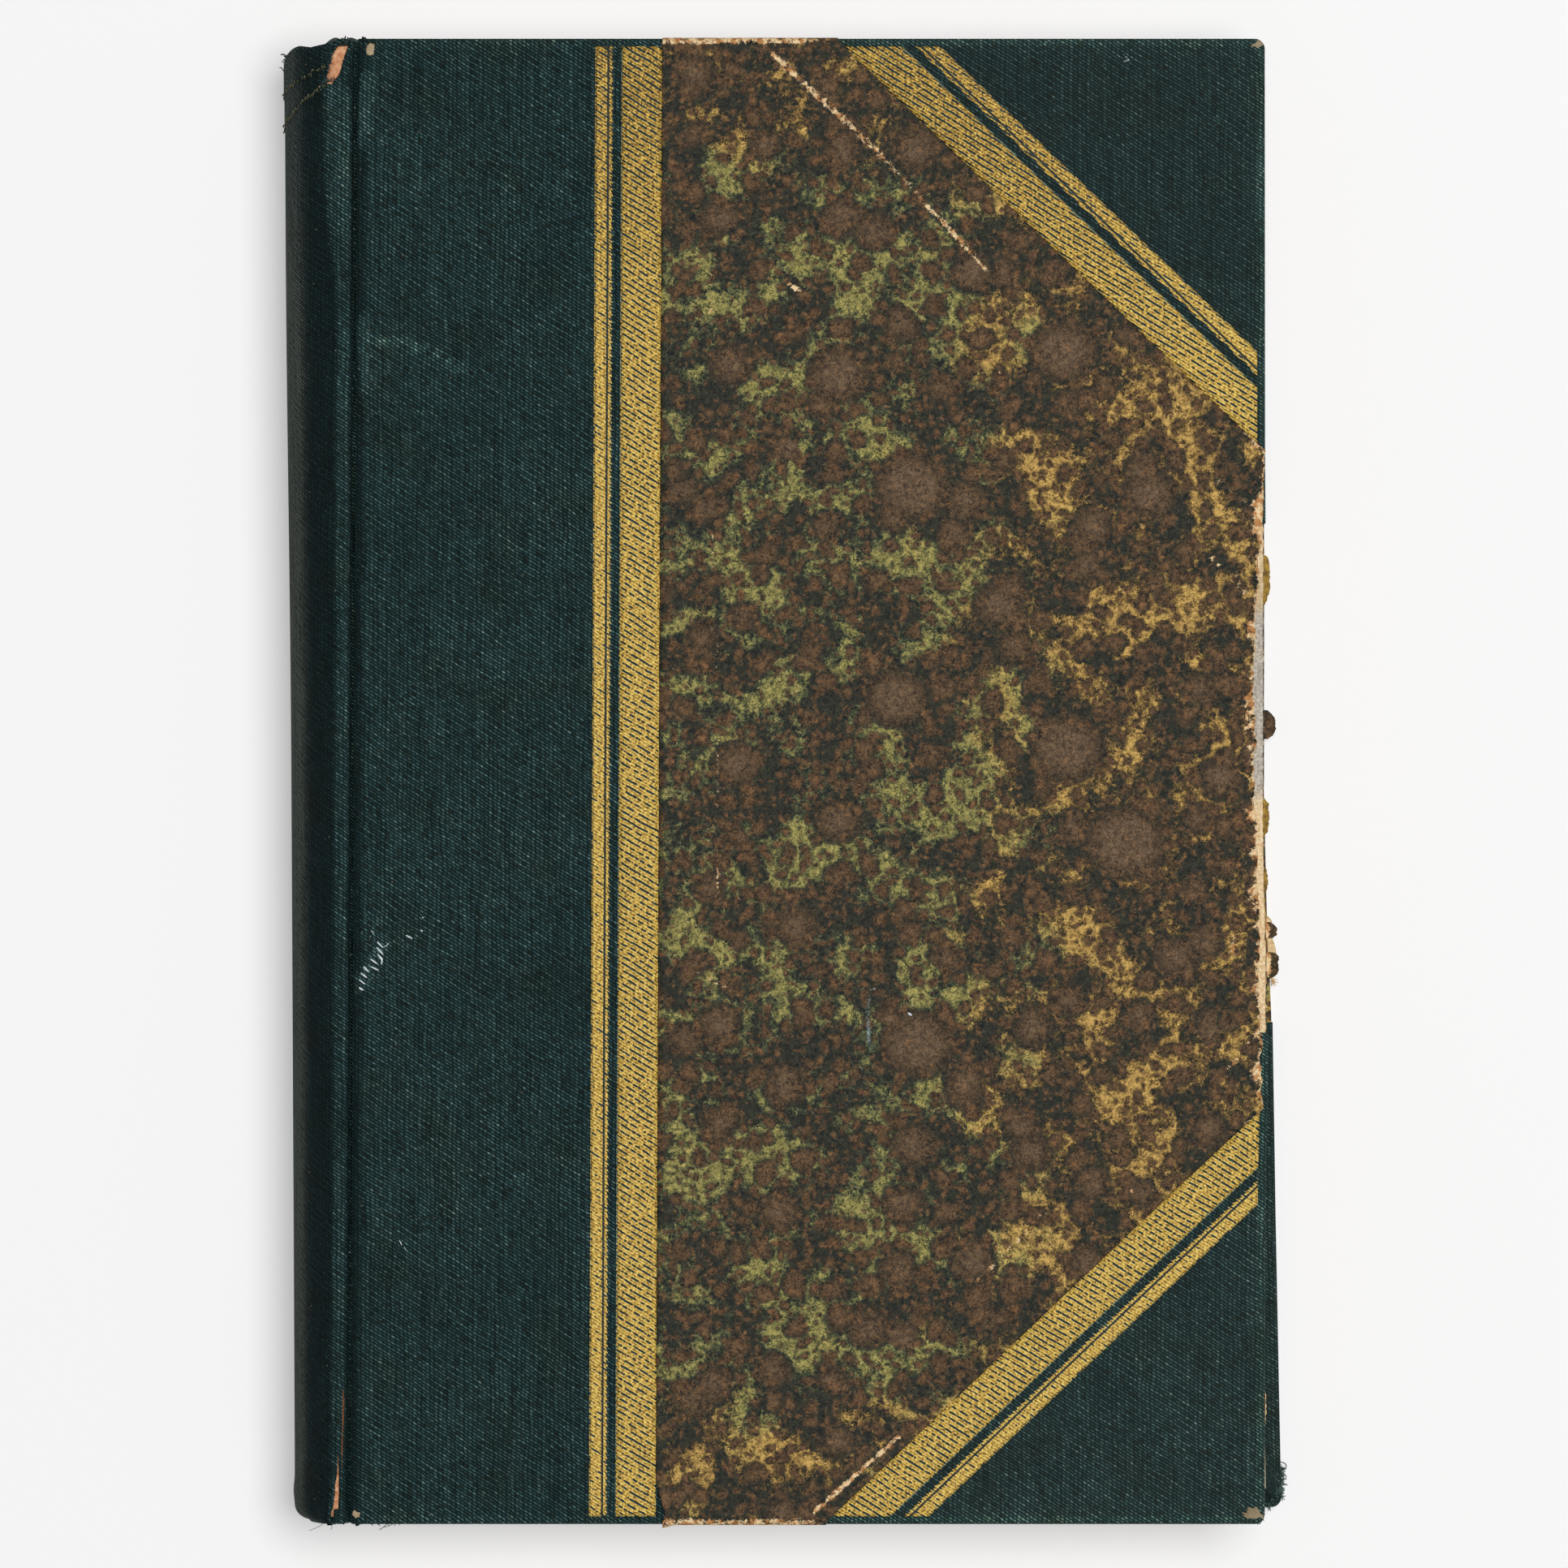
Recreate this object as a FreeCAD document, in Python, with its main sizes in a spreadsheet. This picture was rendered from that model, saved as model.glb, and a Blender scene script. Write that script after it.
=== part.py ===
import FreeCAD, Part

# Half-bound book: a sewn text block in a case with a cloth spine and cloth corners, marbled paper
# sides and gilt lines. The book lies closed on its back cover and has cocked, so its two covers
# no longer lie square over each other. Millimetres; +Z up, +Y to the head, the spine on -X.

import math
import os
import re

import Sketcher
from FreeCAD import Placement, Rotation, Vector

# Driving dimensions. Each one can be set by itself.
SIZES = {
    # boards
    "board_height": 227.3,
    "board_width": 138.8,
    "board_thickness": 2.5,
    "board_corner_radius": 2.0,
    "hinge_skew": 1.0,
    # covering materials
    "cloth_thickness": 0.35,
    "paper_thickness": 0.15,
    "endpaper_thickness": 0.12,
    "turn_in": 15.0,
    "quarter_width": 46.5,
    "paper_overlap": 8.2,
    "paper_riser": 0.4,
    "head_corner_width": 65.2,
    "head_corner_depth": 62.7,
    "tail_corner_width": 67.0,
    "tail_corner_depth": 63.8,
    # gilt lines
    "foil_thickness": 0.04,
    "foil_margin": 0.9,
    "band_width": 6.2,
    "line_gap": 1.5,
    "line_width": 2.5,
    # endpapers and leaves
    "square": 2.65,
    "leaf_gap": 0.15,
    "block_thickness": 17.2,
    "fore_edge_hollow": 5.0,
    "gatherings": 14,
    "fold_depth": 0.4,
    # joints and spine
    "joint_gap": 0.3,
    "groove_depth": 3.2,
    "ridge_width": 2.8,
    "ridge_drop": 0.6,
    "ridge_chamfer": 0.5,
    "spine_round_head": 8.7,
    "spine_round_tail": 8.0,
    "inlay_thickness": 0.7,
    "liner_thickness": 0.15,
    "mull_thickness": 0.3,
    "mull_margin": 5.0,
    # where the covers lie
    "hinge_place": -65.6,
    "cover_slip": 2.95,
    "cover_drop": 0.9,
    "cover_turn": 0.8,
}

REACH = 3.0  # how far a trimming solid runs past the edges that it trims

doc = FreeCAD.newDocument("HalfBoundBook")
nodes = []


def fill_sheet():
    """Writes the driving dimensions into the spreadsheet, one named row each."""
    sheet = doc.addObject("Spreadsheet::Sheet", "Sizes")
    for row, (alias, value) in enumerate(SIZES.items(), start=1):
        sheet.set(f"A{row}", alias.replace("_", " "))
        sheet.set(f"B{row}", str(value))
        sheet.setAlias(f"B{row}", alias)
    doc.recompute()
    return sheet


sheet = fill_sheet()


def size(alias):
    return float(sheet.get(alias))


def bound(text):
    """Turns a formula of plain aliases into an expression on the sheet."""
    return re.sub(r"[a-z]\w*", lambda m: "Sizes." + m[0] if m[0] in SIZES else m[0], text)


def bind(thing, **formulas):
    for name, formula in formulas.items():
        thing.setExpression(name.replace("__", "."), bound(formula))


# ---- building blocks -------------------------------------------------------------------------


def draw(sketch, outlines):
    """Adds closed outlines to a sketch; every corner is held by two bound distances."""
    for outline in outlines:
        first = sketch.GeometryCount
        count = len(outline)
        turns = [2 * math.pi * i / count for i in range(count)]
        ring = [Vector(50 * math.cos(a), 50 * math.sin(a), 0) for a in turns]
        for i in range(count):
            sketch.addGeometry(Part.LineSegment(ring[i], ring[(i + 1) % count]), False)
        for i in range(count):
            ends = (first + i, 2, first + (i + 1) % count, 1)
            sketch.addConstraint(Sketcher.Constraint("Coincident", *ends))
        for i, corner in enumerate(outline, start=first):
            for axis, formula in zip("XY", corner):
                held = Sketcher.Constraint("Distance" + axis, -1, 1, i, 1, 1.0)
                name = f"{axis.lower()}{i}"
                sketch.renameConstraint(sketch.addConstraint(held), name)
                sketch.setExpression("Constraints." + name, bound(formula))


def body_sketch(body, name, outlines, level="0"):
    """A sketch on the body's own XY plane, raised to a level."""
    sketch = body.newObject("Sketcher::SketchObject", name)
    plane = [o for o in body.Origin.OriginFeatures if o.Role == "XY_Plane"][0]
    sketch.AttachmentSupport = [(plane, "")]
    sketch.MapMode = "FlatFace"
    bind(sketch, AttachmentOffset__Base__z=level)
    draw(sketch, outlines)
    return sketch


def pad(body, name, outlines, low, high):
    """Adds a straight-sided solid from one level up to another."""
    feature = body.newObject("PartDesign::Pad", name)
    feature.Profile = body_sketch(body, name + "_sketch", outlines, low)
    bind(feature, Length=f"({high}) - ({low})")
    doc.recompute()
    return feature


def pocket(body, name, outlines, low, high):
    """Cuts a straight-sided hollow from one level up to another."""
    before = body.Shape.Volume
    feature = body.newObject("PartDesign::Pocket", name)
    feature.Profile = body_sketch(body, name + "_sketch", outlines, low)
    feature.Reversed = True
    bind(feature, Length=f"({high}) - ({low})")
    doc.recompute()
    if body.Shape.Volume >= before:
        raise ValueError(f"{name} cuts nothing")
    return feature


def prism(name, outline, low, high):
    """A trimming solid over an outline, from one level up to another."""
    sketch = doc.addObject("Sketcher::SketchObject", name + "_sketch")
    draw(sketch, [outline])
    bind(sketch, Placement__Base__z=low)
    solid = doc.addObject("Part::Extrusion", name)
    solid.Base = sketch
    solid.DirMode = "Custom"
    solid.Dir = Vector(0, 0, 1)
    solid.Solid = True
    bind(solid, LengthFwd=f"({high}) - ({low})")
    return solid


def offset(name, source, formula):
    """The source grown on all sides, with its edges rounded."""
    grown = doc.addObject("Part::Offset", name)
    grown.Source = source
    bind(grown, Value=formula)
    return grown


def cut(name, base, tool):
    result = doc.addObject("Part::Cut", name)
    result.Base = base
    result.Tool = tool
    return result


def common(name, base, tool):
    result = doc.addObject("Part::Common", name)
    result.Base = base
    result.Tool = tool
    return result


def fuse(name, shapes):
    result = doc.addObject("Part::MultiFuse", name)
    result.Shapes = shapes
    result.Refine = True
    return result


def keep(node, part, place):
    """Names a sub-part and puts it in its place in the book."""
    part.Label = node
    part.Placement = place
    nodes.append(part)


def solid_feature(node, shape, place):
    """A sub-part whose shape is set directly."""
    part = doc.addObject("Part::Feature", node)
    part.Shape = shape
    keep(node, part, place)


# ---- a cover, in its own frame -----------------------------------------------------------------
# The hinge edge lies along x = 0, the board's outer face is z = 0 and the cover's thickness runs
# down to -Z. `upper` is the end, head or tail, that lies on +Y.

ABOVE = f"{REACH}"
BELOW = f"-board_thickness - {REACH}"
WRAP = "(cloth_thickness + paper_thickness)"


def lean(upper):
    """The hinge edge's slant: the board is wider at its tail than at its head."""
    return "hinge_skew / board_height" if upper == "head" else "-hinge_skew / board_height"


def hinge_parallel(upper, distance, y):
    """Where a line parallel to the hinge edge, a distance in from it, passes a height y."""
    return f"{distance} + ({lean(upper)}) * ({y})"


def corner_area(name, upper, end, inset):
    """The triangle that a cloth corner covers, its diagonal moved inwards, run out past both edges."""
    wide = f"{end}_corner_width"
    deep = f"{end}_corner_depth"
    slant = f"({inset}) * sqrt({wide}^2 + {deep}^2)"
    flip = "" if end == upper else "-"
    far_x = f"board_width + {REACH}"
    far_y = f"{flip}(board_height / 2 + {REACH})"
    near_x = f"board_width - {wide} - ({slant} + {REACH} * {wide}) / {deep}"
    near_y = f"{flip}(board_height / 2 - {deep} - ({slant} + {REACH} * {deep}) / {wide})"
    return prism(name, [(near_x, far_y), (far_x, near_y), (far_x, far_y)], BELOW, ABOVE)


def hinge_strip(name, upper, left, right):
    """The area between two lines parallel to the hinge edge, run out past the head and the tail."""
    far = f"board_height / 2 + {REACH}"
    outline = [(hinge_parallel(upper, left, y), y) for y in (f"-({far})", far)]
    outline += [(hinge_parallel(upper, right, y), y) for y in (far, f"-({far})")]
    return prism(name, outline, BELOW, ABOVE)


def paper_field(name, upper, inset):
    """The area inside the cloth edges, each moved inwards, through the cover's whole thickness."""
    beyond = f"board_width + 2 * {REACH}"
    field = hinge_strip(name + "_field", upper, f"quarter_width + ({inset})", beyond)
    corners = [corner_area(f"{name}_{end}", upper, end, inset) for end in ("head", "tail")]
    return cut(name, field, fuse(name + "_corners", corners))


def rectangle(left, right, half_height):
    return [
        (left, f"-({half_height})"),
        (right, f"-({half_height})"),
        (right, half_height),
        (left, half_height),
    ]


def board_body(name, upper):
    """A board: a slightly tapered rectangle with its two fore corners worn round."""
    body = doc.addObject("PartDesign::Body", name)
    half = "board_height / 2"
    outline = [
        (hinge_parallel(upper, "0", f"-{half}"), f"-{half}"),
        ("board_width", f"-{half}"),
        ("board_width", half),
        (hinge_parallel(upper, "0", half), half),
    ]
    blank = pad(body, name + "_blank", [outline], "-board_thickness", "0")
    upright = [
        f"Edge{i}"
        for i, edge in enumerate(blank.Shape.Edges, start=1)
        if edge.BoundBox.ZLength > size("board_thickness") / 2
        and edge.CenterOfMass.x > size("board_width") / 2
    ]
    rounded = body.newObject("PartDesign::Fillet", name + "_round")
    rounded.Base = (blank, upright)
    bind(rounded, Radius="board_corner_radius")
    doc.recompute()
    return body


def make_cloth(side, upper, wrapped, inner_face, place):
    """The cloth that shows on a cover: a strip along the hinge edge and two corners, turned in."""
    strip = hinge_strip(side + "_strip", upper, f"-{REACH}", "quarter_width + paper_overlap")
    areas = {side + "_cloth_panel": strip}
    for end in ("head", "tail"):
        node = f"{side}_{end}_corner"
        area = corner_area(node + "_triangle", upper, end, "paper_overlap")
        areas[node] = cut(node + "_area", area, strip)
    for node, area in areas.items():
        patch = common(node + "_patch", wrapped, area)
        keep(node, cut(node, patch, inner_face), place)


def make_marbled_side(side, upper, board, clothed, inner_face, place):
    """The paper side: on the board in its middle, and stepped up over the cloth's edges."""
    papered = offset(side + "_papered", board, "paper_thickness")
    covered = offset(side + "_covered", board, WRAP)
    edge = paper_field(side + "_edge", upper, "0")
    step = paper_field(side + "_step", upper, "paper_overlap")
    foot = paper_field(side + "_foot", upper, "paper_overlap + paper_riser")
    on_board = common(side + "_on_board", cut(side + "_low", papered, board), foot)
    overlap = cut(side + "_overlap", edge, step)
    on_cloth = common(side + "_on_cloth", cut(side + "_high", covered, clothed), overlap)
    riser_area = cut(side + "_riser_area", step, foot)
    riser = common(side + "_riser", cut(side + "_deep", covered, board), riser_area)
    paper = fuse(side + "_paper", [on_board, on_cloth, riser])
    node = side + "_marbled_side"
    keep(node, cut(node, paper, inner_face), place)


def make_gilt_lines(side, upper, place):
    """A broad band beside the paper and a narrow line beyond it, on the cloth's face."""
    margin = "foil_margin"
    plate = prism(
        side + "_plate",
        rectangle(margin, f"board_width - {margin}", f"board_height / 2 - {margin}"),
        "cloth_thickness",
        "cloth_thickness + foil_thickness",
    )
    edges = {
        "band": ("0", "-band_width"),
        "line": ("-band_width - line_gap", "-band_width - line_gap - line_width"),
    }
    strips = []
    for name, (near, far) in edges.items():
        outer = paper_field(f"{side}_{name}_far", upper, far)
        inner = paper_field(f"{side}_{name}_near", upper, near)
        strips.append(cut(f"{side}_{name}", outer, inner))
    node = side + "_gilt_lines"
    keep(node, common(node, plate, fuse(side + "_strips", strips)), place)


def make_pastedown(side, place):
    """The endpaper's pasted half: down on the board, and up over the turn-ins on three sides."""
    top = "-board_thickness"
    base = f"-board_thickness - {WRAP} - endpaper_thickness"
    half = "board_height / 2"
    far = f"{half} + {REACH}"
    open_x = "board_width - turn_in"
    open_y = f"{half} - turn_in"
    leaf = rectangle("hinge_skew / 2", "board_width - square", f"{half} - square")
    dip = rectangle(f"-{REACH}", f"{open_x} - paper_riser", f"{open_y} - paper_riser")
    turned = [
        (f"-{REACH}", f"-({far})"),
        (f"board_width + {REACH}", f"-({far})"),
        (f"board_width + {REACH}", far),
        (f"-{REACH}", far),
        (f"-{REACH}", open_y),
        (open_x, open_y),
        (open_x, f"-({open_y})"),
        (f"-{REACH}", f"-({open_y})"),
    ]
    body = doc.addObject("PartDesign::Body", side + "_pastedown")
    pad(body, side + "_leaf", [leaf], base, top)
    pocket(body, side + "_dip", [dip], base, f"{base} + {WRAP}")
    pocket(body, side + "_turned", [turned], f"{top} - {WRAP}", top)
    keep(side + "_pastedown", body, place)


def make_cover(side, upper, place):
    """All the pieces of one cover. They are shaped round a board in the cover's own frame."""
    form = board_body(side + "_form", upper)
    inner_face = prism(
        side + "_inner_face",
        rectangle(f"-{REACH}", "board_width - turn_in", "board_height / 2 - turn_in"),
        BELOW,
        "-board_thickness",
    )
    clothed = offset(side + "_clothed", form, "cloth_thickness")
    wrapped = cut(side + "_wrapped", clothed, form)
    keep(side + "_board", board_body(side + "_board", upper), place)
    make_cloth(side, upper, wrapped, inner_face, place)
    make_marbled_side(side, upper, form, clothed, inner_face, place)
    make_gilt_lines(side, upper, place)
    make_pastedown(side, place)


# ---- where things lie ----------------------------------------------------------------------------


def cover_stack():
    """A cover's thickness from its outermost paper to its pastedown."""
    wraps = 2 * (size("cloth_thickness") + size("paper_thickness"))
    return size("board_thickness") + wraps + size("endpaper_thickness")


def leaf_level():
    """The height of the text block's lower face, above the back cover and its flyleaf."""
    return cover_stack() + size("leaf_gap") + size("endpaper_thickness")


def book_thickness():
    return 2 * leaf_level() + size("block_thickness")


def leaf_height():
    return size("board_height") - 2 * size("square")


def leaf_width():
    """From a joint's axis to the leaves' fore edge, which lies inside the board's by the square."""
    return size("board_width") + size("cloth_thickness") + size("joint_gap") - size("square")


def outer_wrap():
    return size("cloth_thickness") + size("paper_thickness")


def front_place():
    return Placement(Vector(size("hinge_place"), 0, book_thickness() - outer_wrap()), Rotation())


def back_place():
    """Turned face down about X, then slewed about Z by the book's cocking."""
    half_turn = math.radians(size("cover_turn")) / 2
    face_down = Rotation(Vector(math.cos(half_turn), math.sin(half_turn), 0), 180)
    corner = Vector(size("hinge_place") + size("cover_slip"), -size("cover_drop"), outer_wrap())
    return Placement(corner, face_down)


def joint_line(place, skew, level):
    """The two ends of a joint's axis, in the middle of the groove beside a cover's hinge edge."""
    half = size("board_height") / 2
    out = size("cloth_thickness") + size("joint_gap")
    ends = [place.multVec(Vector(skew * y - out, y * half, 0)) for y in (-1, 1)]
    return [Vector(end.x, end.y, level) for end in sorted(ends, key=lambda end: end.y)]


def front_joint():
    return joint_line(front_place(), size("hinge_skew") / 2, book_thickness())


def back_joint():
    return joint_line(back_place(), -size("hinge_skew") / 2, 0)


def joint_x(line, y):
    """Where a joint's axis passes a height y."""
    tail, head = line
    return tail.x + (head.x - tail.x) * (y - tail.y) / (head.y - tail.y)


# ---- the spine and the text block ----------------------------------------------------------------


def depths():
    """How far each layer's inner face lies below the spine cloth's outer face."""
    layers = {}
    depth = 0
    for name in ("cloth", "inlay", "hollow", "liner", "mull"):
        depth += size("cloth_thickness") if name == "hollow" else size(name + "_thickness")
        layers[name] = depth
    return layers


class Section:
    """A cut straight across the book, with the round of the spine between its two ridges."""

    def __init__(self, y, spine_round):
        self.y = y
        self.top = book_thickness()
        self.joints = {"front": joint_x(front_joint(), y), "back": joint_x(back_joint(), y)}
        front, back = [self.shoulder(side, 0)[-1] for side in ("front", "back")]
        chord = front - back
        self.radius = chord.Length ** 2 / (8 * spine_round) + spine_round / 2
        self.outward = Vector(-chord.z, 0, chord.x).normalize()
        self.centre = (front + back) / 2 - self.outward * (self.radius - spine_round)
        ridges = {"front": front, "back": back}
        self.rays = {side: (end - self.centre).normalize() for side, end in ridges.items()}

    def point(self, side, x, drop):
        """A point a distance in from the book's outer face, on the front's side or the back's."""
        return Vector(x, self.y, self.top - drop if side == "front" else drop)

    def shoulder(self, side, depth):
        """The ridge beside a groove: up the groove's side, over a chamfer and across its crest."""
        wall = self.joints[side] - size("joint_gap")
        chamfer = size("ridge_chamfer") + depth * (math.sqrt(2) - 1)
        crest = size("ridge_drop") + depth
        return [
            self.point(side, wall - depth, size("ridge_drop") + chamfer),
            self.point(side, wall - chamfer, crest),
            self.point(side, self.joints[side] - size("ridge_width"), crest),
        ]

    def on_round(self, ray, depth):
        return self.centre + ray * (self.radius - depth)

    def flank(self, side, side_depth, round_depth, foot):
        """From a groove's foot up over the ridge to the spine's round, at the given depths."""
        low = self.point(side, self.joints[side] - size("joint_gap") - side_depth, foot)
        ridge = self.shoulder(side, side_depth)[:2]
        return [low] + ridge + [self.on_round(self.rays[side], round_depth)]

    def path(self, side_depth, round_depth, foot):
        """From the front groove round the spine to the back groove."""
        down = self.flank("front", side_depth, round_depth, foot)
        up = self.flank("back", side_depth, round_depth, foot)[::-1]
        return lines(down) + self.bows(round_depth, 0) + lines(up)

    def round_layer(self, outer, inner):
        """A layer that covers only the spine's round."""
        return closed(self.bows(outer, 0), self.bows(inner, 0))

    def strip(self, side_depths, round_depths, foot):
        """A layer that runs on over both ridges, from its outer depth to its inner one."""
        outer, inner = [self.path(*pair, foot) for pair in zip(side_depths, round_depths)]
        return closed(outer, inner)

    def bows(self, depth, valley):
        """The round as one arc for each gathering; valley is how far the folds part between them."""
        start = self.turn_to("front")
        sweep = self.turn_to("back") - start
        count = int(size("gatherings"))
        edges = []
        for i in range(count):
            turns = [start + sweep * (i + part) / count for part in (0, 0.5, 1)]
            before, after = [self.turned(turn, depth + valley) for turn in turns[::2]]
            edges.append(Part.Arc(before, self.turned(turns[1], depth), after).toShape())
        return edges

    def turn_to(self, side):
        ray = self.rays[side]
        return math.atan2(ray.z, ray.x) % (2 * math.pi)

    def turned(self, turn, depth):
        return self.on_round(Vector(math.cos(turn), 0, math.sin(turn)), depth)

    def leaves(self, side_depth, round_depth):
        """The text block: flat faces, square shoulders, folded backs and a hollow fore edge."""
        level = leaf_level()
        fore = {side: self.point(side, x + leaf_width(), level) for side, x in self.joints.items()}
        folds = self.bows(round_depth, size("fold_depth"))
        front = [fore["front"]] + self.flank("front", side_depth, round_depth, level)[:3]
        back = self.flank("back", side_depth, round_depth, level)[2::-1] + [fore["back"]]
        front.append(folds[0].Vertexes[0].Point)
        back.insert(0, folds[-1].Vertexes[-1].Point)
        middle = (fore["front"] + fore["back"]) / 2 - Vector(size("fore_edge_hollow"), 0, 0)
        hollow = Part.Arc(fore["back"], middle, fore["front"]).toShape()
        return Part.Wire(lines(front) + folds + lines(back) + [hollow])


def lines(points):
    return [Part.makeLine(a, b) for a, b in zip(points, points[1:])]


def closed(outer, inner):
    """A closed outline from two open chains of edges that run the same way."""
    outer_start, outer_end = outer[0].Vertexes[0].Point, outer[-1].Vertexes[-1].Point
    inner_start, inner_end = inner[0].Vertexes[0].Point, inner[-1].Vertexes[-1].Point
    out_to_in = Part.makeLine(outer_end, inner_end)
    in_to_out = Part.makeLine(inner_start, outer_start)
    return Part.Wire(outer + [out_to_in] + inner[::-1] + [in_to_out])


def loft(sections, make_outline):
    """A solid ruled from the outline at the tail to the one at the head."""
    return Part.makeLoft([make_outline(section) for section in sections], True, True)


def middle_slab(length):
    """Everything within a length along the spine, centred on the boards."""
    wide = 2 * size("board_width")
    corner = Vector(-wide, -length / 2, -wide)
    return Part.makeBox(2 * wide, length, 2 * wide, corner)


def make_spine_cloth(sections, layer):
    """The cloth over the spine, turned in over the inlay at the head and the tail."""
    cloth = layer["cloth"]
    depth = (0, cloth)
    shell = loft(sections, lambda s: s.strip(depth, depth, size("groove_depth")))
    turned = loft(sections, lambda s: s.round_layer(layer["inlay"], layer["hollow"]))
    edge = loft(sections, lambda s: s.round_layer(cloth, layer["inlay"]))
    inner = turned.cut(middle_slab(size("board_height") + 2 * cloth - 2 * size("turn_in")))
    rim = edge.cut(middle_slab(size("board_height")))
    shape = shell.fuse([inner, rim])
    solid_feature("spine_cloth", shape, Placement())


def make_spine(sections):
    layer = depths()
    make_spine_cloth(sections, layer)
    cloth = layer["cloth"]
    board = middle_slab(size("board_height"))
    inlay = loft(sections, lambda s: s.round_layer(cloth, layer["inlay"]))
    solid_feature("spine_inlay", inlay.common(board), Placement())
    liner = loft(sections, lambda s: s.round_layer(layer["hollow"], layer["liner"]))
    block = middle_slab(leaf_height())
    solid_feature("spine_liner", liner.common(block), Placement())
    under = cloth + size("mull_thickness")
    side, across = (cloth, under), (layer["liner"], layer["mull"])
    mull = loft(sections, lambda s: s.strip(side, across, leaf_level()))
    short = middle_slab(leaf_height() - 2 * size("mull_margin"))
    solid_feature("mull", mull.common(short), Placement())
    leaves = loft(sections, lambda s: s.leaves(under, layer["mull"]))
    solid_feature("text_block", leaves.common(block), Placement())


def make_flyleaf(side, line, level):
    """The endpaper's free half, lying on the text block from its shoulder to its fore edge."""
    half = leaf_height() / 2
    back_edge = -size("joint_gap") - size("cloth_thickness")
    ends = [(y, joint_x(line, y)) for y in (-half, half)]
    corners = [Vector(x + back_edge, y, level) for y, x in ends]
    corners += [Vector(x + leaf_width(), y, level) for y, x in reversed(ends)]
    face = Part.Face(Part.makePolygon(corners + corners[:1]))
    leaf = face.extrude(Vector(0, 0, size("endpaper_thickness")))
    solid_feature(side + "_flyleaf", leaf, Placement())


def check():
    """Stops if any object failed or any sub-part isn't a sound solid."""
    for thing in doc.Objects:
        if {"Invalid", "Error"} & set(thing.State):
            raise ValueError(f"{thing.Name} failed: {thing.State}")
    for part in nodes:
        shape = part.Shape
        if shape.isNull() or not shape.isValid() or not shape.Solids:
            raise ValueError(f"{part.Label} isn't a sound solid")


# ---- the whole book ------------------------------------------------------------------------------

make_cover("back", "tail", back_place())
make_cover("front", "head", front_place())
case_end = size("board_height") / 2 + size("cloth_thickness")
ends = [
    Section(-case_end, size("spine_round_tail")),
    Section(case_end, size("spine_round_head")),
]
make_spine(ends)
make_flyleaf("front", front_joint(), book_thickness() - leaf_level())
make_flyleaf("back", back_joint(), leaf_level() - size("endpaper_thickness"))
doc.recompute()
check()

os.makedirs("parts", exist_ok=True)
for part in nodes:
    part.Shape.exportStep(f"parts/{part.Label}.step")
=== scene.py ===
"""The looks of an old half-bound book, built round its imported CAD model: twilled cloth on the spine,
the joints and the corners, marbled paper sides, stamped gilt lines, worn board edges and old leaves."""

import math
import random

import bmesh
import bpy
import numpy as np
from mathutils import Matrix, Vector, noise


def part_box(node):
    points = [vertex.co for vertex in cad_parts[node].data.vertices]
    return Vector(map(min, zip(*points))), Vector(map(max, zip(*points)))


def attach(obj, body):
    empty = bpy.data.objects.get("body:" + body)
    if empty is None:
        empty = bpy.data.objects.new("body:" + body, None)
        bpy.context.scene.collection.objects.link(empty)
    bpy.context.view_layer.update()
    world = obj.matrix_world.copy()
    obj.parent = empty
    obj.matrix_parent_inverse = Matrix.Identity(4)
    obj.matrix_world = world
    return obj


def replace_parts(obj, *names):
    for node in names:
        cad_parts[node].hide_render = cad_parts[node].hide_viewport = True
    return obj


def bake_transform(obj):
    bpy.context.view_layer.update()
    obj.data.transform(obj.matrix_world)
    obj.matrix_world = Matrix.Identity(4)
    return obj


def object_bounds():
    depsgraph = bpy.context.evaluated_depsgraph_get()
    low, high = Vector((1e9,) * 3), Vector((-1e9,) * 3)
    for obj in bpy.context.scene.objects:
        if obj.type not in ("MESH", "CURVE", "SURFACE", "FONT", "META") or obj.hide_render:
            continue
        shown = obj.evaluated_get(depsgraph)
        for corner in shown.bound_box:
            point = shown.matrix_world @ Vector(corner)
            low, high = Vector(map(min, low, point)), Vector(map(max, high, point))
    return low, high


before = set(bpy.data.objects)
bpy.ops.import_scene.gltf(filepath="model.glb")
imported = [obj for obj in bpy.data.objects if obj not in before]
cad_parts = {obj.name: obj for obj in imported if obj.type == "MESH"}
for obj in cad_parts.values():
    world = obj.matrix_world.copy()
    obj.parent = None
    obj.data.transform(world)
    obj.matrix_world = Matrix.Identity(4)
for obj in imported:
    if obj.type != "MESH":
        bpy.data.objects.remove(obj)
cad_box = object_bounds()

# ---- sizes, in millimetres ----

MM = 0.001
TO_MM = 1000.0
BOARD_W, BOARD_H, BOARD_T = 138.8, 227.3, 2.5
HALF = BOARD_H / 2
CORNER_R, EDGE_R = 1.2, 0.4  # the board's corners seen from above, and its knocked edges
SKEW = 1.0  # how far the hinge edge leans over the board's height
CLOTH, PAPER, ENDPAPER, INLAY, FOIL = 0.35, 0.15, 0.12, 0.7, 0.05
CLOTH_DRAWN, PAPER_DRAWN = CLOTH * 0.95, PAPER * 0.9  # a little thinner, so that layers don't touch
QUARTER, OVERLAP, RISER, TURN_IN = 46.5, 8.2, 1.1, 11.0
CORNER_SIZE = {"head": (65.2, 62.7), "tail": (67.0, 63.8)}
BAND, LINE, FOIL_MARGIN = (0.0, 6.25), (7.45, 10.3), 0.9
JOINT_GAP, GROOVE = 0.3, 3.2
RIDGE_W, RIDGE_DROP = 2.8, 0.6
ROUND_HEAD, ROUND_TAIL = 8.7, 8.0
SQUARE = 2.65
COVER_TURN, COVER_SLIP, COVER_DROP = math.radians(0.8), 2.95, 0.9
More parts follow.
